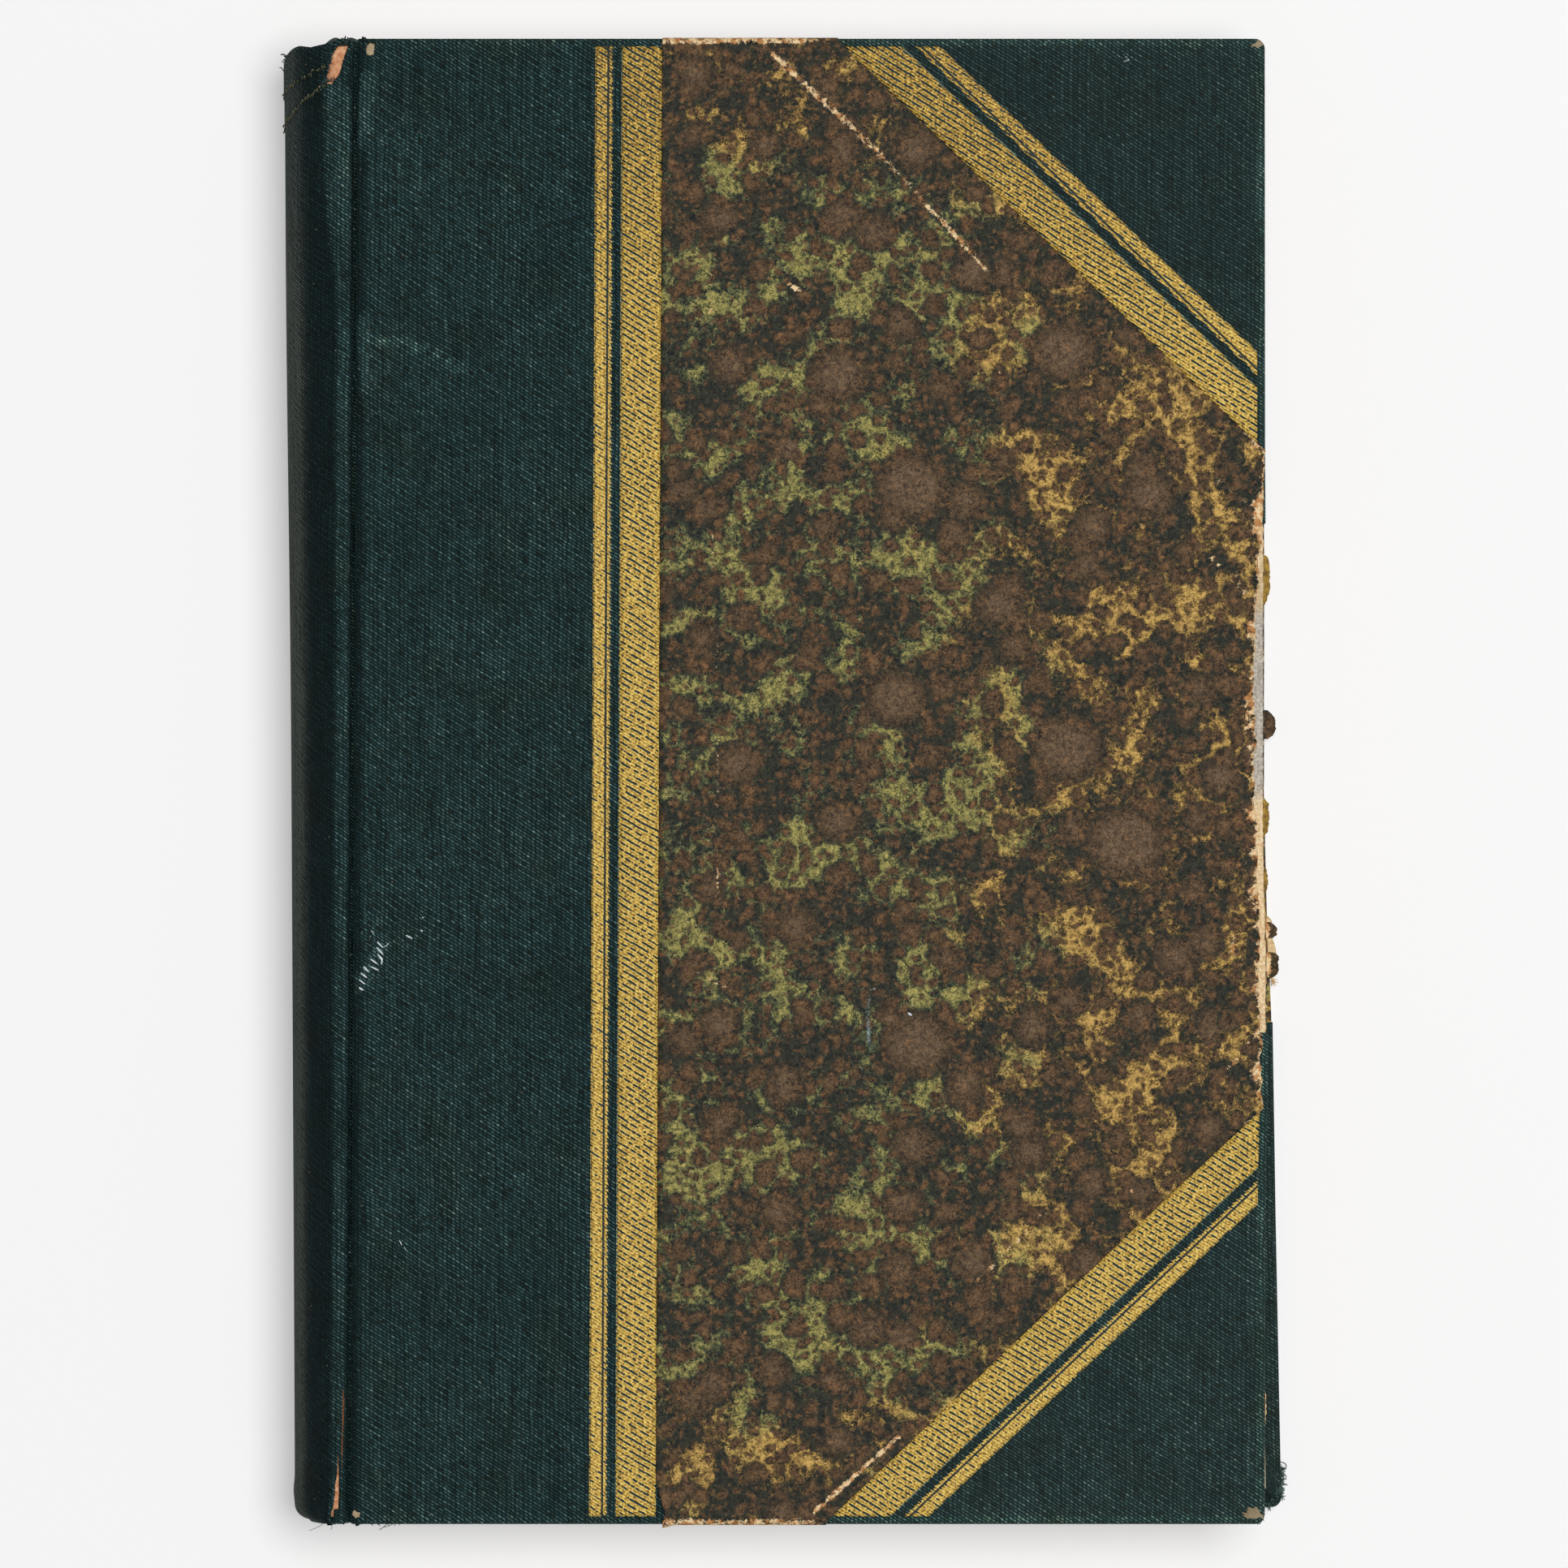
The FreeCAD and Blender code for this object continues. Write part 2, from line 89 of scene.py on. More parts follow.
# How the worn fore edges differ from the sound board's: a shift, and a wander as (height, shift).
FORE_SHIFT = {"front": 0.35, "back": -0.55}
FORE_LEAN = {
    "front": [(-113, 0), (-62, 0.15), (-46, 0.5), (-27, 0.5), (-16, 0.25), (-6, 0.1), (34, 0.15),
              (50, 0.05), (113, 0)],
    "back": [(-111, 0), (-68, -0.25), (-36, -0.3), (-21, -0.75), (2, -1), (20, -0.9), (46, -0.6),
             (113, -0.6)],
}

board_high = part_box("front_board")[1] / MM
HINGE_X = board_high.x - BOARD_W
BOOK_TOP = cad_box[1].z / MM
turn_axis = Vector((math.cos(COVER_TURN / 2), math.sin(COVER_TURN / 2), 0))
back_origin = (HINGE_X + COVER_SLIP, -COVER_DROP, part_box("back_board")[0].z / MM)
FRONT = Matrix.Translation((HINGE_X, 0, board_high.z))
BACK = Matrix.Translation(back_origin) @ Matrix.Rotation(math.pi, 4, turn_axis)
PLACES = {"front": FRONT, "back": BACK}
UPPER = {"front": "head", "back": "tail"}
SEEDS = {"front": 3, "back": 11}


# ---- shader arithmetic ----


def paint(red, green, blue):
    """A screen colour, 0 to 255, as a linear shader colour."""
    parts = [c / 255 for c in (red, green, blue)]
    return [*[c / 12.92 if c <= 0.04045 else ((c + 0.055) / 1.055) ** 2.4 for c in parts], 1.0]


def operator(operation):
    """A method that adds one step of arithmetic to the shader."""
    return lambda self, other: self.net.math(operation, self, other)


class Value:
    """A number in a shader that takes part in plain arithmetic."""

    def __init__(self, net, socket):
        self.net = net
        self.socket = socket

    __add__ = __radd__ = operator("ADD")
    __sub__ = operator("SUBTRACT")
    __mul__ = __rmul__ = operator("MULTIPLY")
    __truediv__ = operator("DIVIDE")

    def __rsub__(self, other):
        return self.net.math("SUBTRACT", other, self)

    def __abs__(self):
        return self.net.math("ABSOLUTE", self)

    def step(self, low, high):
        """0 up to low and 1 from high, smoothly, or the other way round."""
        ranged = self.net.add("MapRange", [self, low, high], interpolation_type="SMOOTHSTEP")
        return Value(self.net, ranged.outputs[0])


class Net:
    """The nodes of one material or of the world."""

    def __init__(self, owner):
        self.owner = owner
        owner.use_nodes = True
        self.tree = owner.node_tree
        self.tree.nodes.clear()

    def add(self, kind, inputs=(), **settings):
        node = self.tree.nodes.new("ShaderNode" + kind)
        for key, value in settings.items():
            setattr(node, key, value)
        pairs = inputs.items() if isinstance(inputs, dict) else enumerate(inputs)
        for key, value in pairs:
            self.put(node.inputs[key], value)
        return node

    def put(self, socket, value):
        if isinstance(value, Value):
            value = value.socket
        if isinstance(value, bpy.types.NodeSocket):
            self.tree.links.new(value, socket)
        else:
            socket.default_value = paint(*value) if socket.type == "RGBA" else value

    def math(self, operation, *values):
        node = self.add("Math", values, operation=operation)
        return Value(self, node.outputs[0])

    def most(self, *values):
        found = values[0]
        for value in values[1:]:
            found = self.math("MAXIMUM", found, value)
        return found

    def attribute(self, name):
        return Value(self, self.add("Attribute", attribute_name=name).outputs["Fac"])

    def place(self, name):
        """The flat coordinates of a sheet, in millimetres."""
        return self.add("UVMap", uv_map=name).outputs[0]

    def solid(self):
        """The piece's own coordinates, in millimetres."""
        return self.shift((0.0, 0.0, 0.0), self.add("TexCoord").outputs["Object"], TO_MM)

    def split(self, vector):
        return [Value(self, s) for s in self.add("SeparateXYZ", [vector]).outputs]

    def join(self, x, y, z=0.0):
        return self.add("CombineXYZ", [x, y, z]).outputs[0]

    def shift(self, vector, by, much=1.0):
        node = self.add("VectorMath", {0: by, 1: (much,) * 3, 2: vector}, operation="MULTIPLY_ADD")
        return node.outputs[0]

    def noise(self, vector, scale, detail=2.0, rough=0.5, twist=0.0, colour=False, space="2D"):
        inputs = {"Vector": vector, "Scale": scale, "Detail": detail, "Roughness": rough}
        node = self.add("TexNoise", {**inputs, "Distortion": twist}, noise_dimensions=space)
        return node.outputs["Color"] if colour else Value(self, node.outputs[0])

    def wander(self, vector, scale, reach, detail=2.0):
        """The coordinates pushed about by a slow noise, by up to half the reach."""
        push = self.noise(vector, scale, detail, colour=True)
        node = self.add("VectorMath", {0: push, 1: (0.5, 0.5, 0.5)}, operation="SUBTRACT")
        return self.shift(vector, node.outputs[0], reach)

    def cells(self, vector, pitch):
        """Distance to the nearest cell's centre in millimetres, and two random numbers per cell."""
        inputs = {"Vector": vector, "Scale": 1 / pitch}
        node = self.add("TexVoronoi", inputs, voronoi_dimensions="2D")
        picks = self.split(node.outputs["Color"])
        return Value(self, node.outputs["Distance"]) * pitch, picks[0], picks[1]

    def chance(self, x, y):
        return Value(self, self.add("TexWhiteNoise", [self.join(x, y)]).outputs[0])

    def mix(self, share, low, high, blend="MIX"):
        node = self.add("Mix", {0: share, 6: low, 7: high}, data_type="RGBA", blend_type=blend)
        node.clamp_factor = True
        return node.outputs[2]

    def tint(self, share, tone, colour):
        return self.mix(share, tone, self.mix(1.0, tone, colour, "MULTIPLY"))

    def ramp(self, value, *stops):
        node = self.add("ValToRGB", [value])
        points = node.color_ramp.elements
        while len(points) < len(stops):
            points.new(0.5)
        for point, (at, colour) in zip(points, stops):
            point.position = at
            point.color = paint(*colour)
        return node.outputs[0]

    def finish(self, colour, rough, shine, height=None, deep=0.0):
        """The surface, with a bump from a height of 0 to 1 that stands for so many millimetres."""
        inputs = {"Base Color": colour, "Roughness": rough, "Specular IOR Level": shine}
        if height is not None:
            relief = {"Height": height, "Distance": deep * MM, "Strength": 1.0}
            inputs["Normal"] = self.add("Bump", relief).outputs[0]
        shader = self.add("BsdfPrincipled", inputs)
        self.add("OutputMaterial", [shader.outputs[0]])
        return self.owner

    def seen_directly(self):
        """1 for what the camera or a reflection sees, 0 for light on its way to the object."""
        seen = self.add("LightPath").outputs
        return self.most(*[Value(self, seen[kind]) for kind in ("Is Camera Ray", "Is Glossy Ray")])


def new_net(name):
    return Net(bpy.data.materials.new(name))


# ---- materials ----

THREAD_PITCH = 0.66
RIB_PITCH = 0.514
RIB_SLOPE = 0.61


def weave(net):
    """The twill: ribs that fall to the right, every second one bolder, broken into short floats of
    uneven brightness."""
    at = net.place("Cloth")
    x, y, _ = net.split(net.wander(net.wander(at, 0.1, 0.7), 0.8, 0.14))
    rib = (y + x * RIB_SLOPE) / RIB_PITCH
    row = net.math("FLOOR", rib)
    bold = abs(net.math("FRACT", row * 0.5 + 0.25) - 0.25).step(0.1, 0.4)
    thread = x / THREAD_PITCH + net.chance(row, 7.0) * 0.3
    across = abs(net.math("FRACT", thread) - 0.5)
    along = abs(net.math("FRACT", rib) - 0.5)
    ridge = along.step(0.5, 0.1)
    top = ridge * (across.step(0.5, 0.12) * 0.55 + 0.45)
    pick = net.chance(net.math("FLOOR", thread), row)
    fuzz = net.noise(at, 2.6, 3.0, 0.65)
    streak = net.noise(net.join(x * 2.1, y * 0.07), 1.0, 1.0)
    return {"at": at, "x": x, "y": y, "rib": rib, "along": along, "float": top, "bold": bold,
            "pick": pick, "fuzz": fuzz, "streak": streak}


def cloth_colour(net, w):
    """Dark green book cloth with paler float tops, worn lighter where it is rubbed, and darker with grime
    and painted shade where its rub mark is below 0.
    """
    mottle = net.noise(w["at"], 0.045, 4.0, 0.6)
    patch = net.noise(w["at"], 0.4, 3.0, 0.6)
    rub = net.attribute("rub")
    # Below 0 the rub mark is grime and painted shade: the spine's outer slope, the groove and bands under
    # the turned-in edges are painted darker.
    grime_and_shade = rub.step(0.0, -1.0)
    level = w["float"] * (w["pick"] * 0.28 + w["bold"] * 0.16 + w["pick"].step(0.9, 1.0) * 0.09 + 0.24)
    level = level + (w["fuzz"] - 0.5) * 0.3 + (w["streak"] - 0.5) * 0.3 + 0.02
    level = (level * (0.74 + mottle * 0.5) + (patch - 0.5) * 0.12) * (1.0 - grime_and_shade * 0.45)
    level = level + net.most(rub, 0.0) * (0.1 + w["float"] * 0.5) * (0.4 + patch)
    tone = net.ramp(
        level,
        (0.0, (10, 22, 24)),
        (0.2, (25, 42, 45)),
        (0.42, (45, 68, 68)),
        (0.7, (78, 109, 105)),
        (1.0, (156, 178, 166)),
    )
    hue = net.noise(w["at"], 0.11, 3.0)
    brownish = net.most(hue.step(0.45, 0.75) * 0.5, w["pick"].step(0.18, 0.02) * 0.8)
    tone = net.tint(brownish, tone, (246, 220, 190))
    teal = rub.step(0.3, 0.9) * 0.7
    tone = net.tint(teal, tone, (176, 252, 228))
    # Grime and painted shade: a grey tint that darkens where the rub mark is below 0.
    tone = net.tint(grime_and_shade, tone, (196, 200, 198))
    faded = net.attribute("fade") + (patch - 0.5) * 0.25
    grey = net.mix(level.step(0.02, 0.42), (35, 43, 40), (92, 97, 89))
    tone = net.mix(faded.step(0.05, 1.0) * 0.85, tone, grey)
    cell = [net.math("FLOOR", w[axis] / 0.22) for axis in ("x", "y")]
    speck = net.chance(*cell).step(0.9995, 0.9998)
    tone = net.mix(speck * 0.5, tone, (128, 126, 104))
    bare = net.attribute("bare") + (patch - 0.5) * 0.7 + (w["fuzz"] - 0.5) * 0.4
    tone = net.mix(bare.step(0.45, 0.62), tone, net.mix(patch, (140, 112, 76), (206, 188, 156)))
    return tone


def cloth_material(name, soil):
    """Book cloth, and how far the soil of hands evens out its colour."""
    net = new_net(name)
    w = weave(net)
    tone = net.mix(soil, cloth_colour(net, w), (40, 47, 44))
    height = w["float"] * 0.7 + w["fuzz"] * 0.6
    return net.finish(tone, 0.86, 0.08, height, 0.12)


def gilt_material():
    """Foil on the float tops; in the valleys between ribs the cloth shows."""
    net = new_net("StampedGilt")
    w = weave(net)
    cloth = cloth_colour(net, w)
    at = w["at"]
    grain = net.noise(at, 2.4, 4.0, 0.7)
    coarse = net.noise(at, 0.9, 3.0, 0.6)
    away, _, _ = net.split(net.place("Gilt"))
    ragged = (grain - 0.5) * 0.3
    frayed = away + ragged
    half = w["rib"] * 0.5
    tooth = net.math("FRACT", half + 0.35)
    valley = abs(net.math("FRACT", half) - 0.5).step(0.26, 0.36)
    band = (away + ragged + tooth * 0.3).step(6.35, 6.2)
    rim = (away - tooth * 0.4 + ragged).step(7.38, 7.5) * frayed.step(8.12, 8.02)
    bar = (away + ragged * 0.6).step(8.34, 8.46) * frayed.step(10.1, 9.95)
    hair = frayed.step(10.06, 10.12) * frayed.step(10.3, 10.2) * coarse.step(0.36, 0.5)
    along_rib = w["x"] * 0.86 - w["y"] * 0.52
    dash = net.noise(net.join(along_rib * 1.15, net.math("FLOOR", half + 0.5) * 3.7), 1.0, 1.0)
    middle = away.step(0.1, 1.0) * away.step(6.2, 5.6)
    gap = valley * dash.step(0.43, 0.5) * middle
    nick = valley * (coarse + w["y"].step(40.0, 112.0) * 0.06).step(0.5, 0.6)
    loss = net.most(gap, nick, grain.step(0.7, 0.75), net.attribute("loss"))
    foil = net.most(band, rim, bar, hair) * (1.0 - loss)
    dull = w["y"].step(60.0, 112.0) * coarse.step(0.3, 0.6)
    gold = net.ramp(
        (grain - 0.5) * 1.8 + w["float"] * 0.3 + (coarse - 0.5) * 0.4 + 0.42 - dull * 0.22,
        (0.14, (64, 46, 18)),
        (0.36, (154, 120, 48)),
        (0.55, (206, 168, 72)),
        (0.85, (250, 220, 122)),
    )
    orange = net.noise(at, 1.3, 3.0, 0.6).step(0.6, 0.75) * 0.45
    gold = net.mix(orange, gold, (184, 126, 54))
    edge = frayed.step(6.05, 6.15) * frayed.step(6.5, 6.3) * coarse.step(0.4, 0.55)
    tone = net.mix(foil, cloth, gold)
    tone = net.mix(edge * 0.55, tone, (140, 164, 146))
    seam = away.step(8.1, 8.16) * away.step(8.4, 8.32)
    tone = net.mix(seam * 0.7, tone, (20, 26, 24))
    height = w["float"] * 0.55 + grain * 0.35 - net.most(seam, gap) * 0.6
    return net.finish(tone, 0.5, 0.2, height, 0.12)


DROPS = (
    # pitch, least radius, greatest radius, share of the cells that hold one
    (9.5, 1.6, 4.2, 0.5),
    (5.4, 1.1, 2.6, 0.6),
    (3.4, 0.8, 1.7, 0.65),
    (2.1, 0.5, 1.1, 0.65),
    (1.3, 0.3, 0.65, 0.5),
)


def marble_colour(net, at):
    """Drops of brown colour that push veins of olive and ochre into the gaps between them."""
    fibre = net.noise(net.wander(at, 1.3, 1.1), 1.9, 5.0, 0.75, 1.2)
    fluff = net.noise(net.wander(at, 0.8, 1.8), 1.0, 4.0, 0.65)
    hair = net.noise(net.wander(at, 2.6, 0.8, 1.0), 5.5, 2.0, 0.6)
    flow = net.wander(net.wander(at, 0.2, 3.0, 3.0), 1.0, 0.55, 3.0)
    fuzz = (fibre - 0.5) * 1.2 + (fluff - 0.5) * 1.3
    depth = net.attribute("drop")
    glow = (depth + fuzz * 0.25).step(-0.4, 4.2)
    for k, (pitch, least, most, share) in enumerate(DROPS):
        moved = net.shift(flow, (17.3 * k, 9.1 * k, 0.0))
        distance, one, two = net.cells(moved, pitch)
        radius = one * (most - least) + least
        inside = radius - distance - two.step(share, share + 0.01) * 20.0
        glow = net.most(glow, ((inside + fuzz * 0.12) / radius).step(0.0, 0.95) * (0.65 + one * 0.35))
        depth = net.most(depth, inside)
    region = net.noise(net.wander(at, 0.1, 5.0), 0.13, 3.0, 0.55)
    gaps = (region - 0.5) * 2.6 + net.attribute("vein") + fuzz * 0.55
    clear = 0.0 - depth + fuzz * 0.4
    lace = clear.step(-0.45, 0.3)
    vein = gaps.step(-0.26, 0.16) * lace
    ochre = net.attribute("ochre") + (net.noise(at, 0.09, 2.0) - 0.5) * 1.3 + fuzz * 0.3
    pale = ((fibre - 0.5) * 1.5 + (fluff - 0.5) * 0.6 + (hair - 0.5) * 0.8 + 0.48).step(0.22, 0.76)
    olive = net.mix(pale, (52, 58, 34), (180, 168, 98))
    yellow = net.mix(pale, (96, 70, 36), (222, 182, 102))
    veins = net.mix(ochre.step(0.25, 0.75), olive, yellow)
    ground = net.mix(pale, (12, 18, 19), (60, 60, 48))
    green = net.mix(pale, (24, 34, 30), (94, 106, 74))
    green = net.mix(ochre.step(0.2, 0.7), green, net.mix(pale, (44, 34, 24), (122, 96, 54)))
    ground = net.mix(gaps.step(-0.4, 0.0) * clear.step(-0.8, 0.2), ground, green)
    brown = net.mix(pale, (42, 30, 22), (132, 98, 66))
    grey = net.mix(pale, (57, 45, 35), (126, 102, 77))
    brown = net.mix(depth.step(0.8, 3.6), brown, grey)
    tone = net.mix(glow, ground, brown)
    tone = net.mix(vein, tone, veins)
    rust = net.noise(at, 0.5, 5.0, 0.75).step(0.58, 0.68) * fibre.step(0.46, 0.6) * (1.0 - vein) * 0.75
    tone = net.mix(rust, tone, (150, 104, 64))
    return tone, fibre, fluff


def marbled_material():
    """Marbled paper, with its raw fibres bared where it is scarred."""
    net = new_net("MarbledPaper")
    at = net.place("Cloth")
    tone, fibre, fluff = marble_colour(net, at)
    scar = net.attribute("scar") + (fibre - 0.5) * 1.1 + (fluff - 0.5) * 0.9
    blush = net.noise(at, 0.8, 3.0, 0.6)
    raw = net.mix(blush.step(0.44, 0.6), (240, 210, 162), (188, 132, 80))
    tone = net.mix(scar.step(0.42, 0.6), tone, raw)
    frost = net.attribute("frost") + (fibre - 0.5) * 1.3 + (fluff - 0.5) * 0.5
    tone = net.mix(frost.step(0.45, 0.62) * 0.8, tone, (136, 158, 160))
    height = fibre * 0.5 + fluff * 0.3
    return net.finish(tone, 0.62, 0.1, height, 0.06)


def board_material():
    """Grey pulp board, paler and split into layers where its edges are worn."""
    net = new_net("PulpBoard")
    at = net.place("Cloth")
    x, y, _ = net.split(at)
    pulp = net.noise(at, 2.2, 4.0, 0.65)
    cloud = net.noise(at, 0.12, 3.0)
    streak = net.noise(net.join(x * 5.0, y * 0.5), 1.0, 3.0, 0.6)
    tone = net.mix(pulp.step(0.3, 0.7), (160, 152, 138), (212, 206, 194))
    warm = net.attribute("ochre")
    tone = net.mix(warm, tone, net.mix(pulp.step(0.3, 0.7), (218, 180, 128), (250, 228, 188)))
    tone = net.mix(streak.step(0.62, 0.74) * 0.45, tone, (112, 88, 62))
    tone = net.mix(cloud.step(0.5, 0.8) * 0.3, tone, (120, 104, 82))
    return net.finish(tone, 0.9, 0.2, pulp * 0.5 + streak * 0.6, 0.2)


def leaf_material(name, low, high, stain):
    """Old paper: warm, foxed and clouded with stains."""
    net = new_net(name)
    at = net.solid()
    fibre = net.noise(at, 1.6, 5.0, space="3D")
    cloud = net.noise(at, 0.02, 4.0, space="3D")
    fox = net.noise(at, 0.16, 5.0, space="3D")
    tone = net.mix(fibre.step(0.3, 0.7), low, high)
    tone = net.mix(cloud.step(0.45, 0.75) * 0.35, tone, stain)
    tone = net.mix(fox.step(0.66, 0.76) * 0.35, tone, (146, 100, 58))
    return net.finish(tone, 0.82, 0.25, fibre, 0.04)


def page_edge_material():
    """The cut edges of many leaves, each a slightly different brown."""
    net = new_net("PageEdges")
    x, y, z = net.split(net.solid())
    leaf = net.attribute("leaf")
    row = net.noise(net.join(leaf * 31.7, x * 0.02 + y * 0.02), 1.0, 2.0)
    fine = net.noise(net.join(leaf * 173.0, x * 0.05 + y * 0.05), 1.0, 3.0, 0.7)
    dirt = net.noise(net.join(x * 0.12 + y * 0.12, z * 0.3), 1.0, 4.0, 0.6)
    tone = net.mix(row.step(0.3, 0.7), (168, 140, 98), (214, 190, 146))
    tone = net.mix(fine.step(0.55, 0.72) * 0.7, tone, (112, 86, 54))
    tone = net.mix(dirt.step(0.5, 0.75) * 0.5, tone, (128, 100, 66))
    return net.finish(tone, 0.85, 0.2, fine, 0.08)


def gauze_material():
    """Two sets of threads that cross."""
    net = new_net("MullGauze")
    x, y, z = net.split(net.solid())
    mesh = net.most(*[abs(net.math("SINE", along * 5.2)).step(0.35, 0.8) for along in (y, x + z)])
    tone = net.mix(mesh, (116, 84, 48), (206, 188, 150))
    return net.finish(tone, 0.9, 0.2, mesh, 0.12)


def plain_material(name, low, high, scale):
    """A plain fibrous colour between two tones."""
    net = new_net(name)
    spot = net.noise(net.solid(), scale, 5.0, space="3D")
    return net.finish(net.mix(spot.step(0.3, 0.7), low, high), 0.8, 0.5, spot, 0.05)


MATERIALS = {
    "cloth": cloth_material("BookCloth", 0.0),
    "corner_cloth": cloth_material("CornerCloth", 0.32),
    "gilt": gilt_material(),
    "marbled": marbled_material(),
    "board": board_material(),
    "endpaper": leaf_material("Endpaper", (206, 186, 148), (228, 212, 178), (178, 146, 98)),
    "pages": page_edge_material(),
    "gauze": gauze_material(),
}
PLAIN = {
    # name, dark tone, pale tone, spots a millimetre
    "card": ("TanCard", (182, 116, 74), (226, 172, 130), 1.2),
    "lining": ("LiningPaper", (170, 146, 108), (202, 180, 140), 1.2),
    "thread": ("ClothThread", (14, 24, 24), (52, 66, 62), 3.0),
    "chalk": ("ChalkMark", (176, 192, 200), (240, 244, 246), 3.0),
    "bast": ("FrayedBast", (30, 36, 28), (112, 108, 70), 4.0),
    "tuft": ("ClothTuft", (26, 48, 48), (84, 112, 104), 3.0),
    "rust": ("RustThread", (62, 38, 18), (150, 88, 34), 3.0),
    "shred": ("PaperShred", (190, 154, 98), (232, 206, 160), 1.6),
    "flake": ("OliveFlake", (94, 68, 14), (168, 134, 50), 0.9),
    "sliver": ("PaperSliver", (196, 138, 84), (234, 206, 158), 2.0),
}
MATERIALS.update({look: plain_material(*row) for look, row in PLAIN.items()})


# ---- meshes ----


def new_object(name, mesh):
    thing = bpy.data.objects.new(name, mesh)
    bpy.context.scene.collection.objects.link(thing)
    return thing


def sheet_object(name, points, flats, look, place=None, thick=0.0, flip=False, gone=None, **marks):
    """A mesh over a grid of points in millimetres. Each of flats is a coordinate map of the same
    grid, marks are numbers per point, and gone says which of the grid's faces are missing."""
    points = np.asarray(points, float)
    rows, columns = points.shape[:2]
    index = np.arange(rows * columns).reshape(rows, columns)
    quads = np.stack([index[:-1, :-1], index[:-1, 1:], index[1:, 1:], index[1:, :-1]], -1)
    kept = quads[~gone] if gone is not None else quads.reshape(-1, 4)
    if flip:
        kept = kept[:, ::-1]
    points = points.reshape(-1, 3)
    if place is not None:
        turn = np.array(place)
        points = points @ turn[:3, :3].T + turn[:3, 3]
        heights, shifts = zip(*FORE_LEAN["front" if place is FRONT else "back"])
        outer = np.clip((points[:, 0] - 45) / 25, 0, 1)
        points[:, 0] += outer * np.interp(points[:, 1], heights, shifts)
    mesh = bpy.data.meshes.new(name)
    mesh.from_pydata((points * MM).tolist(), [], kept.tolist())
    for key, flat in flats.items():
        layer = mesh.uv_layers.new(name=key)
        corners = np.asarray(flat, float).reshape(-1, 2)[kept.reshape(-1)]
        layer.uv.foreach_set("vector", corners.astype(np.float32).ravel())
    for key, numbers in marks.items():
        held = mesh.attributes.new(key, "FLOAT", "POINT")
        values = np.asarray(numbers, float)
        if values.size != rows * columns:
            values = np.broadcast_to(values, (rows, columns))
        held.data.foreach_set("value", values.ravel().astype(np.float32))
    mesh.materials.append(MATERIALS[look])
    mesh.polygons.foreach_set("use_smooth", [True] * len(mesh.polygons))
    mesh.update()
    if gone is not None:
        drop_unused(mesh, kept)
    thing = new_object(name, mesh)
    if thick:
        thicken(thing, thick)
    return thing


def thicken(thing, thick):
    """Gives a sheet its thickness, in millimetres, under its outer face."""
    body = thing.modifiers.new("Thickness", "SOLIDIFY")
    body.thickness = thick * MM
    body.offset = -1


def opened(mesh):
    """A mesh made ready for edits."""
    work = bmesh.new()
    work.from_mesh(mesh)
    work.verts.ensure_lookup_table()
    return work


def drop_unused(mesh, faces):
    """Deletes the points that none of the faces uses."""
    work = opened(mesh)
    loose = np.setdiff1d(np.arange(len(mesh.vertices)), faces)
    bmesh.ops.delete(work, geom=[work.verts[i] for i in loose], context="VERTS")
    work.to_mesh(mesh)
    work.free()


def wobble(x, y, scale, seed=0.0, octaves=3):
    """Smooth noise between about -1 and 1."""
    at = Vector((x * scale, y * scale, seed))
    return noise.fractal(at, 0.8, 2.1, octaves)


def ease(low, high, x):
    """0 up to low and 1 from high, smoothly, or the other way round."""
    t = min(max((x - low) / (high - low), 0.0), 1.0)
    return t * t * (3 - 2 * t)


def profile(e, out, thick=BOARD_T, radius=EDGE_R):
    """Round an edge: (outward distance, height) of a sheet that lies `out` above the face, after
    running on by e from where the rounding starts. The lower half mirrors the upper one."""
    big = radius + out
    quarter = math.pi / 2 * big
    side = thick - 2 * radius
    if e > quarter + side / 2:
        reach, z = profile(2 * quarter + side - e, out, thick, radius)
        return reach, -thick - z
    if e <= 0:
        return e - radius, out
    if e < quarter:
        return big * math.sin(e / big) - radius, big * math.cos(e / big) - radius
    return out, quarter - radius - e


def turn_length(out, thick=BOARD_T, radius=EDGE_R):
    """How far a sheet runs from the start of the upper rounding to the end of the lower one."""
    return math.pi * (radius + out) + thick - 2 * radius


TURN_STATIONS = 17  # how many stations turn_steps gives


def turn_steps(out, reach, thick=BOARD_T, radius=EDGE_R):
    """The stations of a turned-in edge: over both roundings, down the side and inwards."""
    quarter = math.pi / 2 * (radius + out)
    ends = [0.0, quarter, quarter + thick - 2 * radius, 2 * quarter + thick - 2 * radius]
    steps = [0.0]
    for low, high in zip(ends, ends[1:]):
        steps += list(np.linspace(low, high, 5)[1:])
    return steps + [ends[-1] + reach * part for part in (0.08, 0.2, 0.5, 1.0)]


# ---- a cover in its own frame ----
# x runs from the hinge edge to the fore edge, y along the hinge, z outwards from the board's face.


